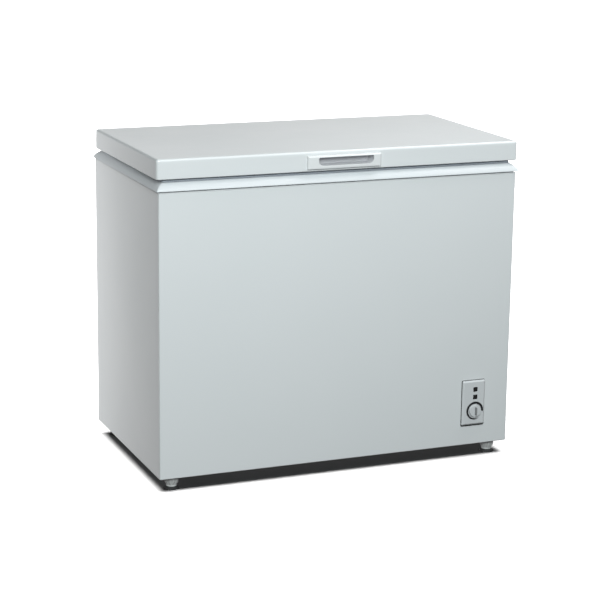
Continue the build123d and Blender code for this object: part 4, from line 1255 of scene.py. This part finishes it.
@dataclass
class Hinge:
    """One sprung hinge: base, leaf, pin and spring.

    Attributes:
        side: The name of the side it is on.
        coils: Turns of its spring.
        wire: Radius of the spring's wire.
        gauge: Thickness of the brackets' ears and arms.
        plate_gauge: Thickness of their plates.
        bore: Radius of the pin's holes.
        axis: A point of the pin's axis, with no X.
    """

    side: str
    coils: int = 13
    wire: float = 1.1 * MM
    gauge: float = 3.0 * MM
    plate_gauge: float = 2.0 * MM
    bore: float = 2.0 * MM
    axis: Vector = field(init=False)

    def build(self) -> None:
        """Makes the hinge's four pieces."""
        low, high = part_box(f"hinge_pin_{self.side}")
        self.axis = Vector((0.0, (low.y + high.y) / 2, (low.z + high.z) / 2))
        self.base()
        self.leaf()
        self.pin()
        self.spring()

    def plate(self, shape: Shape, outline: Sequence[Point], low: float, high: float, corner: float) -> None:
        """An upright plate across X with rounded corners and eased edges.

        Args:
            shape: The bracket that gets it.
            outline: Its outline in Y and Z.
            low: Its low X.
            high: Its high X.
            corner: Radius of the outline's corners.
        """
        known = set(shape.mesh.edges)
        with shape.placed(Facing.RIGHT):
            shape.prism(outline, low, high)
        shape.bevel(lambda edge: edge not in known and self.runs_across(edge), corner, 4)
        shape.bevel(lambda edge: edge not in known and is_sharp(edge), 0.4 * MM, 2)

    @staticmethod
    def runs_across(edge: Edge) -> bool:
        """Whether an edge runs along X."""
        along = edge.verts[0].co - edge.verts[1].co
        return abs(along.x) > 0.9 * along.length

    def flat(self, shape: Shape, ring: Ring) -> None:
        """A flat plate against a rear face, with eased edges.

        Args:
            shape: The bracket that gets it.
            ring: Its outline, at the height of its outer face.
        """
        rings = [ring.inset(0.0, ring.height - self.plate_gauge)]
        rings += ring.steps(ring.height, (0.0, -0.5), (0.15, -0.15), (0.5, 0.0))
        with shape.placed(Facing.REAR):
            shape.rings(rings, Ends.BOTH, steps=4)

    def base(self) -> None:
        """The bracket on the cabinet's back."""
        low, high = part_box(f"hinge_base_{self.side}")
        shape = Shape()
        top = high.z - 22.0 * MM
        self.flat(shape, Ring((low.x, low.z), (high.x, top), low.y + self.plate_gauge, 5.0 * MM))
        outline = [
            (low.y, low.z + 52.0 * MM), (high.y, self.axis.z - 8.0 * MM), (high.y, high.z), (low.y, high.z),
        ]
        for start in (low.x + 1.0 * MM, high.x - 1.0 * MM - self.gauge):
            self.plate(shape, outline, start, start + self.gauge, 3.0 * MM)
            self.boss(shape, start - 0.4 * MM, start + self.gauge + 0.4 * MM, 5.6 * MM)
        shape.piece(f"hinge_{self.side}_base_bracket", ZINC_PLATE, "cabinet", [f"hinge_base_{self.side}"])

    def boss(self, shape: Shape, low: float, high: float, radius: float) -> None:
        """A pressed collar round the pin's hole.

        Args:
            shape: The bracket that gets it.
            low: Its low X.
            high: Its high X.
            radius: Its radius.
        """
        ease = 0.4 * MM
        with shape.placed(Facing.RIGHT):
            profile = [
                (self.bore, low), (radius - ease, low), (radius, low + ease), (radius, high - ease),
                (radius - ease, high), (self.bore, high), (self.bore, low),
            ]
            shape.lathe(profile, (self.axis.y, self.axis.z), 28)

    def leaf(self) -> None:
        """The bracket on the lid's rear face."""
        low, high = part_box(f"hinge_leaf_{self.side}")
        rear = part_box("lid_skin")[1].y
        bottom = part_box("lid_skin")[0].z + 5.0 * MM
        shape = Shape()
        self.flat(shape, Ring((low.x, bottom), (high.x, high.z), rear + self.plate_gauge, 4.0 * MM))
        y, z = self.axis.y, self.axis.z
        outline = [
            (rear, bottom), (rear, high.z - 2.0 * MM), (rear + 5.0 * MM, high.z - 2.0 * MM),
            (y + 5.0 * MM, z + 6.0 * MM), (y - 1.0 * MM, z - 4.0 * MM), (rear + 8.0 * MM, z),
        ]
        for start in (low.x, high.x - self.gauge):
            self.plate(shape, outline, start, start + self.gauge, 1.2 * MM)
            self.boss(shape, start, start + self.gauge, 7.5 * MM)
        shape.piece(f"hinge_{self.side}_leaf_bracket", ZINC_PLATE, "lid", [f"hinge_leaf_{self.side}"])

    def pin(self) -> None:
        """The headed pin."""
        low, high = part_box(f"hinge_pin_{self.side}")
        head, shank, ease = (high.y - low.y) / 2, 3.0 * MM, 0.6 * MM
        shoulder = low.x + 2.5 * MM
        profile = [
            (0.0, low.x), (head - ease, low.x), (head, low.x + ease), (head, shoulder), (shank, shoulder),
            (shank, high.x - ease), (shank - ease, high.x), (0.0, high.x),
        ]
        shape = Shape()
        with shape.placed(Facing.RIGHT):
            shape.lathe(profile, (self.axis.y, self.axis.z), 24)
        shape.piece(f"hinge_{self.side}_pin_rod", ZINC_PLATE, "cabinet", [f"hinge_pin_{self.side}"])

    def spring(self) -> None:
        """The torsion spring: a helix round the pin."""
        low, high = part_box(f"hinge_spring_{self.side}")
        radius = (high.y - low.y) / 2 - self.wire
        shape = Shape()
        start = Vector((low.x + self.wire, self.axis.y + radius, self.axis.z))
        edges = shape.section(start, Vector((0.05, 0.0, 1.0)), self.wire, 8)
        steps = self.coils * 18
        travel = (high.x - low.x - 2 * self.wire) / steps
        spun = bmesh.ops.spin(
            shape.mesh, geom=edges + shape.verts_of(edges), cent=start - Vector((0, radius, 0)),
            axis=(1, 0, 0), dvec=(travel, 0, 0), angle=FULL_TURN * self.coils, steps=steps,
        )
        for ends in (edges, only(Edge, spun["geom_last"])):
            bmesh.ops.edgeloop_fill(shape.mesh, edges=ends)
        name = f"hinge_{self.side}_coil_spring"
        shape.piece(name, ZINC_PLATE, "cabinet", [f"hinge_spring_{self.side}"], sharp=60)


# Controls


@dataclass
class ControlPanel:
    """The moulded control cover, its windows, the knob and the printed scale.

    Attributes:
        chamfer: Width of the cover's bevelled edge.
        window: Side of a window.
        scale_radius: Outer radius of the printed scale.
        scale_start: Bearing of its thick end, in degrees from three o'clock.
        scale_sweep: How far round it runs, in degrees.
        scale_widths: Its width at the thick end, at half way, and at the thin end.
        rounded_share: The share of its sweep over which the thick end is rounded.
        dial: The dial's centre, X and Z.
        outline: The cover's outline.
    """

    chamfer: float = 4.0 * MM
    window: float = 12.5 * MM
    scale_radius: float = 25.0 * MM
    scale_start: float = -8.0
    scale_sweep: float = 308.0
    scale_widths: Point = (7.6 * MM, 6.8 * MM, 2.8 * MM)
    rounded_share: float = 0.025
    dial: Point = field(init=False)
    outline: Ring = field(init=False)

    def build(self) -> None:
        """Makes the panel's pieces."""
        low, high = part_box("thermostat_knob")
        self.dial = ((low.x + high.x) / 2, (low.z + high.z) / 2)
        self.outline = elevation("control_cover", Facing.FRONT)
        self.cover()
        # This step draws the dark strip round the cover that is its painted shadow.
        self.seal()
        self.windows()
        self.printed_scale()
        self.knob()

    def cover(self) -> None:
        """The cover, with a raised frame round each window and a raised ring round the knob."""
        front = self.outline.height
        foot = self.foot()
        low, high = front - 0.2 * MM, front + 0.3 * MM
        ring_radius = 17.9 * MM
        shape = Shape()
        with shape.placed(Facing.FRONT):
            rings = [foot, *foot.steps(front - self.chamfer, (0.0, 0.0), (0.25, 0.6))]
            shape.rings(rings + foot.steps(front, (3.6, -0.3), (4.4, 0.0)), Ends.BOTH)
            for ring in self.window_rings(1.3 * MM):
                frame_steps = (0.0, -0.2), (0.1, 0.25), (0.5, 0.45), (0.9, 0.25), (1.2, -0.2)
                shape.rings(ring.steps(front, *frame_steps), Ends.LOOP, steps=4)
            shape.lathe([
                (ring_radius, low), (ring_radius + 0.2 * MM, high), (ring_radius + 0.8 * MM, high),
                (ring_radius + 1.0 * MM, low), (ring_radius, low),
            ], self.dial, 72)
        shape.piece("panel_cover", PANEL_GREY, "cabinet", ["control_cover"])

    def foot(self) -> Ring:
        """The cover's outline where it meets the cabinet's front."""
        return Ring(self.outline.low, self.outline.high, -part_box("cabinet_wrap")[0].y, 3.0 * MM)

    def seal(self) -> None:
        """A dark rubber strip round the cover, deeper below it: painted shadow of the cover's edge and of the
        gap under it.
        """
        foot = self.foot()
        # The strip shows wider under the cover, as painted shadow beneath the raised cover.
        margin, below = 1.2 * MM, 4.4 * MM
        lip = Ring(
            (foot.low[0] - margin, foot.low[1] - below), (foot.high[0] + margin, foot.high[1] + margin),
            foot.height, foot.radius + margin,
        )
        shape = Shape()
        with shape.placed(Facing.FRONT):
            rings = lip.steps(foot.height, (0.0, 0.0), (0.0, 1.0), (0.6, 1.8))
            shape.rings(rings + foot.steps(foot.height, (0.6, 1.8), (0.6, 0.0)), Ends.LOOP)
        shape.piece("panel_seal", RUBBER, "cabinet")

    def window_rings(self, grow: float) -> list[Ring]:
        """The outline of each window, grown by an amount."""
        low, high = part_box("indicator_lenses")
        x = (low.x + high.x) / 2
        half = self.window / 2 + grow
        edge = (high.x - low.x) / 2
        return [
            Ring((x - half, z - half), (x + half, z + half), 0.0, 2.0 * MM + grow)
            for z in (low.z + edge, high.z - edge)
        ]

    def windows(self) -> None:
        """The two dark windows, each a slightly domed slab."""
        shape = Shape()
        front = -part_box("indicator_lenses")[0].y
        with shape.placed(Facing.FRONT):
            for ring in self.window_rings(0.0):
                rings = ring.steps(front, (0.0, -2.0), (0.0, -0.3), (0.5, -0.05), (1.4, 0.0))
                shape.rings(rings, Ends.BOTH, steps=4)
        shape.piece("panel_windows", DARK_WINDOW, "cabinet", ["indicator_lenses"])

    def printed_scale(self) -> None:
        """The tapered arc printed round the dial, as a film just proud of the cover."""
        shape = Shape()
        x, z = self.dial
        film = self.outline.height + 0.12 * MM
        start, sweep = math.radians(self.scale_start), math.radians(self.scale_sweep)
        ends = [
            shape.mesh.verts.new((x + radius * math.cos(start), z + radius * math.sin(start), film))
            for radius in (self.scale_radius - 1.0 * MM, self.scale_radius)
        ]
        edge = shape.mesh.edges.new(ends)
        bmesh.ops.spin(
            shape.mesh, geom=ends + [edge], cent=(x, z, 0), axis=(0, 0, 1), dvec=(0, 0, 0), angle=sweep,
            steps=90,
        )

        def widen(radius: float, bearing: float, _height: float) -> float:
            """How far the inner edge moves to give the arc its width."""
            share = ((bearing - start) % FULL_TURN) / sweep
            is_inner = radius < self.scale_radius - 0.5 * MM
            return (self.scale_radius - self.width_at(share)) / radius if is_inner else 1.0

        shape.swell(set(), self.dial, widen)
        bmesh.ops.transform(shape.mesh, matrix=Facing.FRONT.matrix(), verts=shape.mesh.verts)
        fade = (math.radians(-90.0), math.radians(-62.0))
        made = shape.piece(
            "dial_scale", PrintedScale("printed_scale", self.dial, fade), "cabinet", wall=0.1 * MM
        )
        made.modifiers["wall"].offset = 0.0

    def width_at(self, share: float) -> float:
        """The scale's width at a share of its sweep; a share past the end is the start, rounded up."""
        thick, middle, thin = self.scale_widths
        share = 0.0 if share > 1.02 else share
        rounding = math.sqrt(min(1.0, share / self.rounded_share))
        if share < 0.5:
            return (thick + (middle - thick) * share * 2) * (0.35 + 0.65 * rounding)
        return middle + (thin - middle) * min(1.0, share * 2 - 1)

    def knob(self) -> None:
        """The round knob, and its pointer bar, whose dark grey is painted shade of the raised grip."""
        low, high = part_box("thermostat_knob")
        face = -low.y - 6.5 * MM
        base = self.outline.height + 0.4 * MM
        radius, ease, stem, stem_length = (high.x - low.x) / 2, 1.2 * MM, 3.0 * MM, 12.0 * MM
        shape = Shape()
        with shape.placed(Facing.FRONT):
            shape.lathe([
                (0.0, base), (radius - 0.4 * MM, base), (radius, base + 0.4 * MM),
                (radius - 0.2 * MM, face - ease), (radius - 0.55 * MM, face - ease * 0.3),
                (radius - ease, face), (radius - 3.0 * MM, face), (0.0, face + 0.15 * MM),
            ], self.dial, 72)
            shape.lathe([
                (0.0, base), (stem, base), (stem, base - stem_length), (0.0, base - stem_length),
            ], self.dial, 24)
        shape.piece("dial_knob", PANEL_GREY, "knob", ["thermostat_knob"])
        x, z = self.dial
        half_width, half_length = 2.2 * MM, 11.0 * MM
        foot = Ring(
            (x - half_width, z - half_length), (x + half_width, z + half_length), face - 0.3 * MM, 2.0 * MM
        )
        # The bar's grey finish is painted shade along the raised grip.
        bar = Shape()
        with bar.placed(Facing.FRONT):
            bar.rings([foot, *foot.steps(face, (0.25, 4.6), (0.5, 5.8), (1.0, 6.5))], Ends.BOTH)
        bar.piece("dial_pointer", POINTER_PAINTED_SHADE_GREY, "knob")


# Feet, vents and basket


@dataclass
class Foot:
    """One levelling foot: a ribbed cup on a rubber sole.

    Attributes:
        place: The name of its corner.
        ribs: Ribs round the cup.
        depth: The depth of the grooves between them, as a share of the radius.
        waist: Radius of the cup's neck.
        stud: Radius of its threaded stud.
    """

    place: str
    ribs: int = 12
    depth: float = 0.06
    waist: float = 12.8 * MM
    stud: float = 4.9 * MM

    def build(self) -> None:
        """Makes the cup with its stud, and the sole."""
        body = f"foot_{self.place}"
        sole_low, sole_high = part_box(f"foot_sole_{self.place}")
        cup_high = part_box(f"foot_cup_{self.place}")[1]
        centre = ((sole_low.x + sole_high.x) / 2, (sole_low.y + sole_high.y) / 2)
        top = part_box("foot_rail_left")[0].z
        radius = cup_high.x - centre[0]
        rim = radius + 1.0 * MM
        base = sole_high.z
        shoulder = base + 16.0 * MM
        cup = Shape()
        cup.lathe([
            (0.0, base - 1.0 * MM), (self.waist + 0.6 * MM, base - 1.0 * MM),
            (self.waist + 0.4 * MM, base + 1.2 * MM), (self.waist, base + 2.4 * MM),
            (self.waist + 2.8 * MM, base + 6.5 * MM), (radius + 0.2 * MM, base + 11.0 * MM),
            (rim, shoulder), (rim, top - 0.5 * MM), (radius, top), (0.0, top),
        ], centre, self.ribs * 6)

        def rib(_radius: float, bearing: float, height: float) -> float:
            """How far the cup's wall is drawn in between two ribs."""
            is_ribbed = base + 2.0 * MM < height < shoulder
            return 1.0 - self.depth * (1.0 - math.cos(self.ribs * bearing)) if is_ribbed else 1.0

        cup.swell(set(), centre, rib)
        cup.lathe([
            (0.0, top - 1.0 * MM), (self.stud, top - 1.0 * MM), (self.stud, cup_high.z - 1.0 * MM),
            (self.stud - 1.0 * MM, cup_high.z), (0.0, cup_high.z),
        ], centre, 24)
        cup.piece(f"{body}_ribbed_cup", FOOT_GREY, body, [f"foot_cup_{self.place}"])
        reach = sole_high.x - centre[0]
        sole = Shape()
        sole.lathe([
            (0.0, 0.0), (reach - 1.5 * MM, 0.0), (reach - 0.4 * MM, 0.5 * MM), (reach, 1.6 * MM),
            (reach - 0.5 * MM, 2.8 * MM), (reach - 2.5 * MM, 3.6 * MM), (reach - 5.0 * MM, base - 2.0 * MM),
            (reach - 6.5 * MM, base), (0.0, base),
        ], centre, 56)
        sole.piece(f"{body}_rubber_sole", RUBBER, body, [f"foot_sole_{self.place}"])


@dataclass
class SideVent:
    """The slotted vent in the right side.

    Attributes:
        slats: How many blades it has.
        border: Width of its frame.
        depth: How far it reaches in behind the cabinet's side.
        blade: Half the thickness of a blade.
    """

    slats: int = 12
    border: float = 15.0 * MM
    depth: float = 8.0 * MM
    blade: float = 2.6 * MM

    def build(self) -> None:
        """Makes the frame and its upright blades."""
        outline = elevation("side_grille", Facing.RIGHT)
        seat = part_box("cabinet_wrap")[1].x
        front = outline.height
        frame_ring = Ring(outline.low, outline.high, seat, 5.0 * MM)
        opening = frame_ring.inset(self.border, seat, 3.0 * MM)
        back = seat - self.depth
        rings = [frame_ring, *frame_ring.steps(front, (0.0, -1.5), (0.5, -0.5), (1.6, 0.0))]
        rings += opening.steps(front, (-0.6, 0.0, 3.6), (0.0, -0.6))
        rings += opening.steps(back, (0.0, 0.0), (-2.0, 0.0, 5.0))
        rings += opening.steps(seat, (-2.0, 0.0, 5.0))
        shape = Shape()
        with shape.placed(Facing.RIGHT):
            shape.rings(rings, Ends.LOOP, steps=4)
            pitch = (opening.high[0] - opening.low[0]) / self.slats
            bottom, top = opening.low[1] - 1.0 * MM, opening.high[1] + 1.0 * MM
            for index in range(self.slats):
                y = opening.low[0] + pitch * (index + 0.5)
                blade = Ring((y - self.blade, bottom), (y + self.blade, top), back, 0.6 * MM)
                edge = blade.steps(front, (0.0, -2.4), (0.4, -1.6), (1.2, -1.2))
                shape.rings([blade, *edge], Ends.BOTH, steps=2)
        shape.piece("side_vent", HANDLE_WHITE, "cabinet", ["side_grille"])


@dataclass
class ServiceCover:
    """The rear cover over the compressor, with pressed louvres, and the lead's bush.

    Attributes:
        columns: Distances of the two louvre columns from the cover's ends.
        rows: Louvres in each column.
        length: A louvre's length.
        pitch: The distance between rows.
        lowest: The lowest row's height over the cover's edge.
        raised: How far the cover's field is raised.
    """

    columns: Point = (85.0 * MM, 55.0 * MM)
    rows: int = 7
    length: float = 70.0 * MM
    pitch: float = 17.0 * MM
    lowest: float = 42.0 * MM
    raised: float = 1.2 * MM

    def build(self) -> None:
        """Makes the cover and the bush."""
        low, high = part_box("rear_cover")
        shape = Shape()
        sheet = upright(low, high, high.y, 3.0 * MM)
        field_ring = sheet.inset(14.5 * MM, high.y + self.raised)
        with shape.placed(Facing.REAR):
            shape.rings([sheet, sheet.inset(13.0 * MM, high.y), field_ring], Ends.LAST, steps=4)
            for x in (low.x + self.columns[0], high.x - self.columns[1]):
                for row in range(self.rows):
                    self.louvre(shape, x, low.z + self.lowest + row * self.pitch, field_ring.height)
        shape.piece("service_cover", ZINC_SHEET, "cabinet", ["rear_cover"], wall=high.y - low.y)
        self.bush()

    def louvre(self, shape: Shape, x: float, z: float, face: float) -> None:
        """A hooded louvre, open underneath.

        Args:
            shape: The cover.
            x: The louvre's middle.
            z: Its height.
            face: The cover's face, along Y.
        """
        half = self.length / 2
        foot = Ring((x - half, z - 5.0 * MM), (x + half, z + 5.0 * MM), face - 0.3 * MM, 3.0 * MM)
        known = set(shape.mesh.faces)
        hood = foot.steps(face, (0.8, 1.6), (2.0, 2.8), (3.2, 3.2))
        shape.rings([foot, *hood], Ends.LAST, steps=4)
        margin = 4.0 * MM
        middles = {
            made: made.calc_center_median() for made in shape.mesh.faces if made not in known
        }
        under = [
            made for made, middle in middles.items()
            if middle.y < z - margin and abs(middle.x - x) < half - margin
        ]
        bmesh.ops.delete(shape.mesh, geom=under, context="FACES_ONLY")

    def bush(self) -> None:
        """The rubber bush that the mains lead leaves by."""
        low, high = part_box("cord_gland")
        radius = (high.x - low.x) / 2
        centre = ((low.x + high.x) / 2, (low.z + high.z) / 2)
        bore, neck = 4.0 * MM, 7.2 * MM
        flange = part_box("rear_cover")[1].y
        shape = Shape()
        with shape.placed(Facing.REAR):
            shape.lathe([
                (bore, low.y), (neck, low.y), (neck, flange), (radius, flange), (radius, high.y - 2.2 * MM),
                (radius - 0.8 * MM, high.y - 1.0 * MM), (neck, high.y), (bore + 1.0 * MM, high.y),
                (bore, high.y - 1.0 * MM), (bore, low.y),
            ], centre, 40)
        shape.piece("lead_bush", RUBBER, "cabinet", ["cord_gland"])


@dataclass
class Basket:
    """The welded wire basket.

    Attributes:
        rim: Radius of the rim's wire.
        wire: Radius of the other wires.
        taper: How far the ends lean in.
        neck: Half width under the rim's hooks.
        floor: Half width of the floor.
        lengthwise: Wires that run from end to end.
        crosswise: Wires that run from front to rear.
    """

    rim: float = 2.5 * MM
    wire: float = 1.7 * MM
    taper: float = 8.0 * MM
    neck: float = 200.0 * MM
    floor: float = 192.0 * MM
    lengthwise: int = 9
    crosswise: int = 8

    def build(self) -> None:
        """Makes the rim, the middle hoop and the wires."""
        low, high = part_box("basket")
        left, right = low.x + self.rim, high.x - self.rim
        half_y = high.y - self.rim
        top, bottom = high.z - self.rim, low.z + self.wire
        shape = Shape()
        middle = (top + bottom) / 2
        inset = self.taper / 2 + 2.6 * MM
        shape.bar(self.hoop(left, right, half_y, top), self.rim, 12.0 * MM, closed=True, sides=12)
        hoop = self.hoop(left + inset, right - inset, self.neck - 6.6 * MM, middle)
        shape.bar(hoop, self.wire, 12.0 * MM, closed=True)
        end, bend = 24.0 * MM, 7.0 * MM
        for index in range(self.crosswise):
            x = left + end + index * (right - left - 2 * end) / (self.crosswise - 1)
            shape.bar([
                (x, -half_y, top), (x, -self.neck, top), (x, -self.floor, bottom), (x, self.floor, bottom),
                (x, self.neck, top), (x, half_y, top),
            ], self.wire, bend)
        first = self.floor - 20.0 * MM
        above = bottom + 2 * self.wire - 0.7 * MM
        for index in range(self.lengthwise):
            y = -first + index * 2 * first / (self.lengthwise - 1)
            shape.bar([
                (left, y, top), (left + self.taper, y, above), (right - self.taper, y, above),
                (right, y, top),
            ], self.wire, bend)
        shape.piece("welded_wire_basket", WIRE_COAT, "wire_basket", ["basket"], sharp=70.0)

    @staticmethod
    def hoop(left: float, right: float, half_y: float, z: float) -> list[Point]:
        """The four corners of a level hoop."""
        return [(left, -half_y, z), (right, -half_y, z), (right, half_y, z), (left, half_y, z)]


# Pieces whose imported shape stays


CARRIED: dict[str, Finish] = {
    "back_panel": ZINC_SHEET, "base_pan": ZINC_SHEET, "compartment_liner": ZINC_SHEET,
    "compressor_tray": ZINC_SHEET, "foot_rail_left": ZINC_SHEET, "foot_rail_right": ZINC_SHEET,
    "cabinet_foam": FOAM, "lid_foam": FOAM, "evaporator_coil": COPPER, "condenser_coil": STEEL_TUBE,
    "compressor": BLACK_ENAMEL, "compressor_grommets": RUBBER, "compressor_bolts": ZINC_PLATE,
    "compressor_relay_cover": CASE_GREY, "filter_drier": COPPER, "discharge_pipe": COPPER,
    "suction_pipe": COPPER, "indicator_lamps": LAMP, "thermostat_body": CASE_GREY,
}


def dress_carried() -> None:
    """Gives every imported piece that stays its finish."""
    for node, finish in CARRIED.items():
        for slot in frame["nodes"][node].material_slots:
            slot.material = finish.material()


# Studio


@dataclass(frozen=True)
class Softbox:
    """A large soft light.

    Attributes:
        name: Its name.
        place: Where it hangs.
        aim: The point that it faces.
        size: Its width and height.
        power: Its power in watts.
        tint: Its colour.
        gleam: Whether it shows in reflections.
    """

    name: str
    place: Point
    aim: Point
    size: Point
    power: float
    tint: Colour = (1.0, 1.0, 1.0)
    gleam: bool = True


def direction(azimuth: float, elevation: float) -> Vector:
    """The unit vector towards a bearing and a height, both in degrees."""
    bearing, height = math.radians(azimuth), math.radians(elevation)
    return Vector((
        math.sin(bearing) * math.cos(height), -math.cos(bearing) * math.cos(height), math.sin(height)
    ))


@dataclass
class Studio:
    """The floor, the lights and the camera.

    Attributes:
        azimuth: The camera's bearing in degrees.
        elevation: Its height in degrees.
        roll: Its roll in degrees.
        distance: How far it stands from its target.
        target: What it looks at.
        lens: Its focal length in millimetres.
        sky: How bright the surroundings are above the horizon.
        ground: How bright they are below it.
        floor_power: The strength of the floor's own light.
        floor_softness: How wide that light looks, in degrees.
        softboxes: The soft lights.
    """

    azimuth: float = -22.28
    elevation: float = 13.63
    roll: float = 0.74
    distance: float = 5.13185
    target: Point = (-0.00383, 0.0, 0.40083)
    lens: float = 114.39
    sky: float = 0.03
    ground: float = 0.12
    floor_power: float = 13.0
    floor_softness: float = 60.0
    softboxes: Sequence[Softbox] = (
        Softbox("key", (-1.3, -3.6, 2.3), (0.0, -0.27, 0.5), (1.4, 1.4), 126.0, (0.94, 1.0, 1.01)),
        Softbox("key_high", (0.1, -2.6, 3.2), (0.0, -0.27, 0.5), (1.2, 1.2), 36.0, (0.94, 1.0, 1.01)),
        Softbox("overhead_right", (0.9, -0.3, 2.2), (0.3, 0.0, 0.85), (1.0, 1.0), 16.0),
        Softbox("left_rear", (-1.3, 2.8, -0.1), (-0.49, 0.27, 0.3), (0.8, 2.4), 3.6),
        Softbox("side_strip", (-1.0, 0.62, 0.45), (-0.49, 0.27, 0.45), (0.5, 1.6), 6.5, gleam=False),
        Softbox("rear", (1.3, 3.6, 2.0), (0.0, 0.0, 0.6), (2.4, 2.4), 12.0),
        Softbox("rear_low", (0.6, 3.0, 0.44), (0.0, 0.29, 0.44), (1.8, 0.7), 26.0),
        Softbox("right_low", (2.6, 0.5, 0.42), (0.49, 0.2, 0.42), (1.6, 0.7), 12.0),
    )

    def build(self) -> None:
        """Sets up the whole studio, round pieces that are all there already."""
        pieces = [thing for thing in bpy.data.objects if thing.type == "MESH"]
        self.surroundings()
        self.light_floor(self.floor())
        for softbox in self.softboxes:
            self.light_only(self.hang(softbox), pieces)
        self.camera()
        bpy.context.scene.view_settings.view_transform = "Standard"

    @staticmethod
    def light_only(lamp: bpy.types.Object, receivers: Sequence[bpy.types.Object]) -> None:
        """Makes a lamp light some objects and no others.

        Args:
            lamp: The lamp.
            receivers: What it lights.
        """
        lit = bpy.data.collections.new(f"{lamp.name}_receivers")
        for receiver in receivers:
            lit.objects.link(receiver)
        lamp.light_linking.receiver_collection = lit

    def surroundings(self) -> None:
        """A dim sky above the horizon and plain white below it."""
        world = bpy.data.worlds.new("studio_surroundings")
        bpy.context.scene.world = world
        world.use_nodes = True
        nodes, links = world.node_tree.nodes, world.node_tree.links
        place = nodes.new("ShaderNodeTexCoord")
        parts = nodes.new("ShaderNodeSeparateXYZ")
        level = nodes.new("ShaderNodeMapRange")
        level.inputs["From Min"].default_value = -0.02
        level.inputs["From Max"].default_value = 0.0
        level.inputs["To Min"].default_value = self.ground
        level.inputs["To Max"].default_value = self.sky
        links.new(place.outputs["Generated"], parts.inputs["Vector"])
        links.new(parts.outputs["Z"], level.inputs["Value"])
        links.new(level.outputs[0], nodes["Background"].inputs["Strength"])
        nodes["Background"].inputs["Color"].default_value = (1.0, 1.0, 1.0, 1.0)

    def floor(self) -> bpy.types.Object:
        """A wide round floor under the soles."""
        shape = bmesh.new()
        bmesh.ops.create_circle(shape, cap_ends=True, radius=240.0, segments=128)
        mesh = bpy.data.meshes.new("studio_floor")
        shape.to_mesh(mesh)
        shape.free()
        mesh.materials.append(STUDIO_FLOOR.material())
        made = bpy.data.objects.new("studio_floor", mesh)
        bpy.context.scene.collection.objects.link(made)
        made.visible_diffuse = False
        made.visible_glossy = False
        made.visible_shadow = False
        return made

    def light_floor(self, floor: bpy.types.Object) -> None:
        """Lights the floor alone, from straight above, so that only a tight contact shadow shows."""
        lamp = bpy.data.lights.new("floor_light", "SUN")
        lamp.energy = self.floor_power
        lamp.angle = math.radians(self.floor_softness)
        made = bpy.data.objects.new("floor_light", lamp)
        made.location = (0.0, 0.0, 6.0)
        bpy.context.scene.collection.objects.link(made)
        self.light_only(made, [floor])

    def hang(self, softbox: Softbox) -> bpy.types.Object:
        """Hangs one softbox and returns it."""
        lamp = bpy.data.lights.new(softbox.name, "AREA")
        lamp.shape = "RECTANGLE"
        lamp.size, lamp.size_y = softbox.size
        lamp.energy = softbox.power
        lamp.color = softbox.tint
        made = bpy.data.objects.new(softbox.name, lamp)
        made.location = softbox.place
        made.rotation_mode = "QUATERNION"
        made.rotation_quaternion = (Vector(softbox.place) - Vector(softbox.aim)).to_track_quat("Z", "Y")
        made.visible_camera = False
        made.visible_glossy = softbox.gleam
        bpy.context.scene.collection.objects.link(made)
        return made

    def camera(self) -> None:
        """Sets the camera at its bearing, height and roll."""
        lens = bpy.data.cameras.new("camera")
        lens.lens = self.lens
        lens.sensor_width = 36.0
        lens.clip_end = 600.0
        made = bpy.data.objects.new("camera", lens)
        back = direction(self.azimuth, self.elevation)
        made.location = Vector(self.target) + back * self.distance
        made.rotation_mode = "QUATERNION"
        level = back.to_track_quat("Z", "Y")
        made.rotation_quaternion = level @ Matrix.Rotation(math.radians(self.roll), 3, "Z").to_quaternion()
        bpy.context.scene.collection.objects.link(made)
        bpy.context.scene.camera = made


def screw_places(node: str, x_inset: float, z_inset: float) -> list[Point]:
    """X and Z of four screws at the corners of a plate, given how far in they stand."""
    low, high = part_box(node)
    return [
        (x, z) for x in (low.x + x_inset, high.x - x_inset) for z in (low.z + z_inset, high.z - z_inset)
    ]


def hinge_screw_places(half_spacing: float, heights: Sequence[float]) -> list[Point]:
    """X and Z of the screws of both hinges' bases or leaves.

    Args:
        half_spacing: Half the distance between a bracket's two columns.
        heights: The screws' heights.

    Returns:
        The places.
    """
    middles = []
    for side in ("left", "right"):
        low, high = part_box(f"hinge_leaf_{side}")
        middles.append((low.x + high.x) / 2)
    return [(middle + turn * half_spacing, z) for middle in middles for turn in (-1, 1) for z in heights]


def main() -> None:
    """Builds every sub-assembly in order."""
    logging.basicConfig(level=logging.INFO, format="%(message)s")
    base_places = hinge_screw_places(20.0 * MM, (705.0 * MM, 752.0 * MM))
    leaf_places = hinge_screw_places(16.0 * MM, (816.0 * MM, 834.0 * MM))
    cover_places = screw_places("rear_cover", 8.0 * MM, 8.0 * MM)
    assemblies = [
        Cabinet(), Tub(), Collar(), Lid(), Hinge("left"), Hinge("right"),
        Screws("hinge_base_screw_set", "hinge_base_screws", "cabinet", base_places),
        Screws("hinge_leaf_screw_set", "hinge_leaf_screws", "lid", leaf_places),
        Screws("service_cover_screw_set", "rear_cover_screws", "cabinet", cover_places),
        ControlPanel(), SideVent(), ServiceCover(), Basket(),
    ]
    assemblies += [Foot(f"{row}_{side}") for row in ("front", "rear") for side in ("left", "right")]
    assemblies.append(Studio())
    for assembly in assemblies:
        known = set(bpy.data.objects)
        assembly.build()
        made = [thing.name for thing in bpy.data.objects if thing not in known]
        LOG.info("%s: %s", type(assembly).__name__, ", ".join(made))
    dress_carried()
    LOG.info("carried over: %s", ", ".join(CARRIED))


if __name__ == "__main__":
    main()
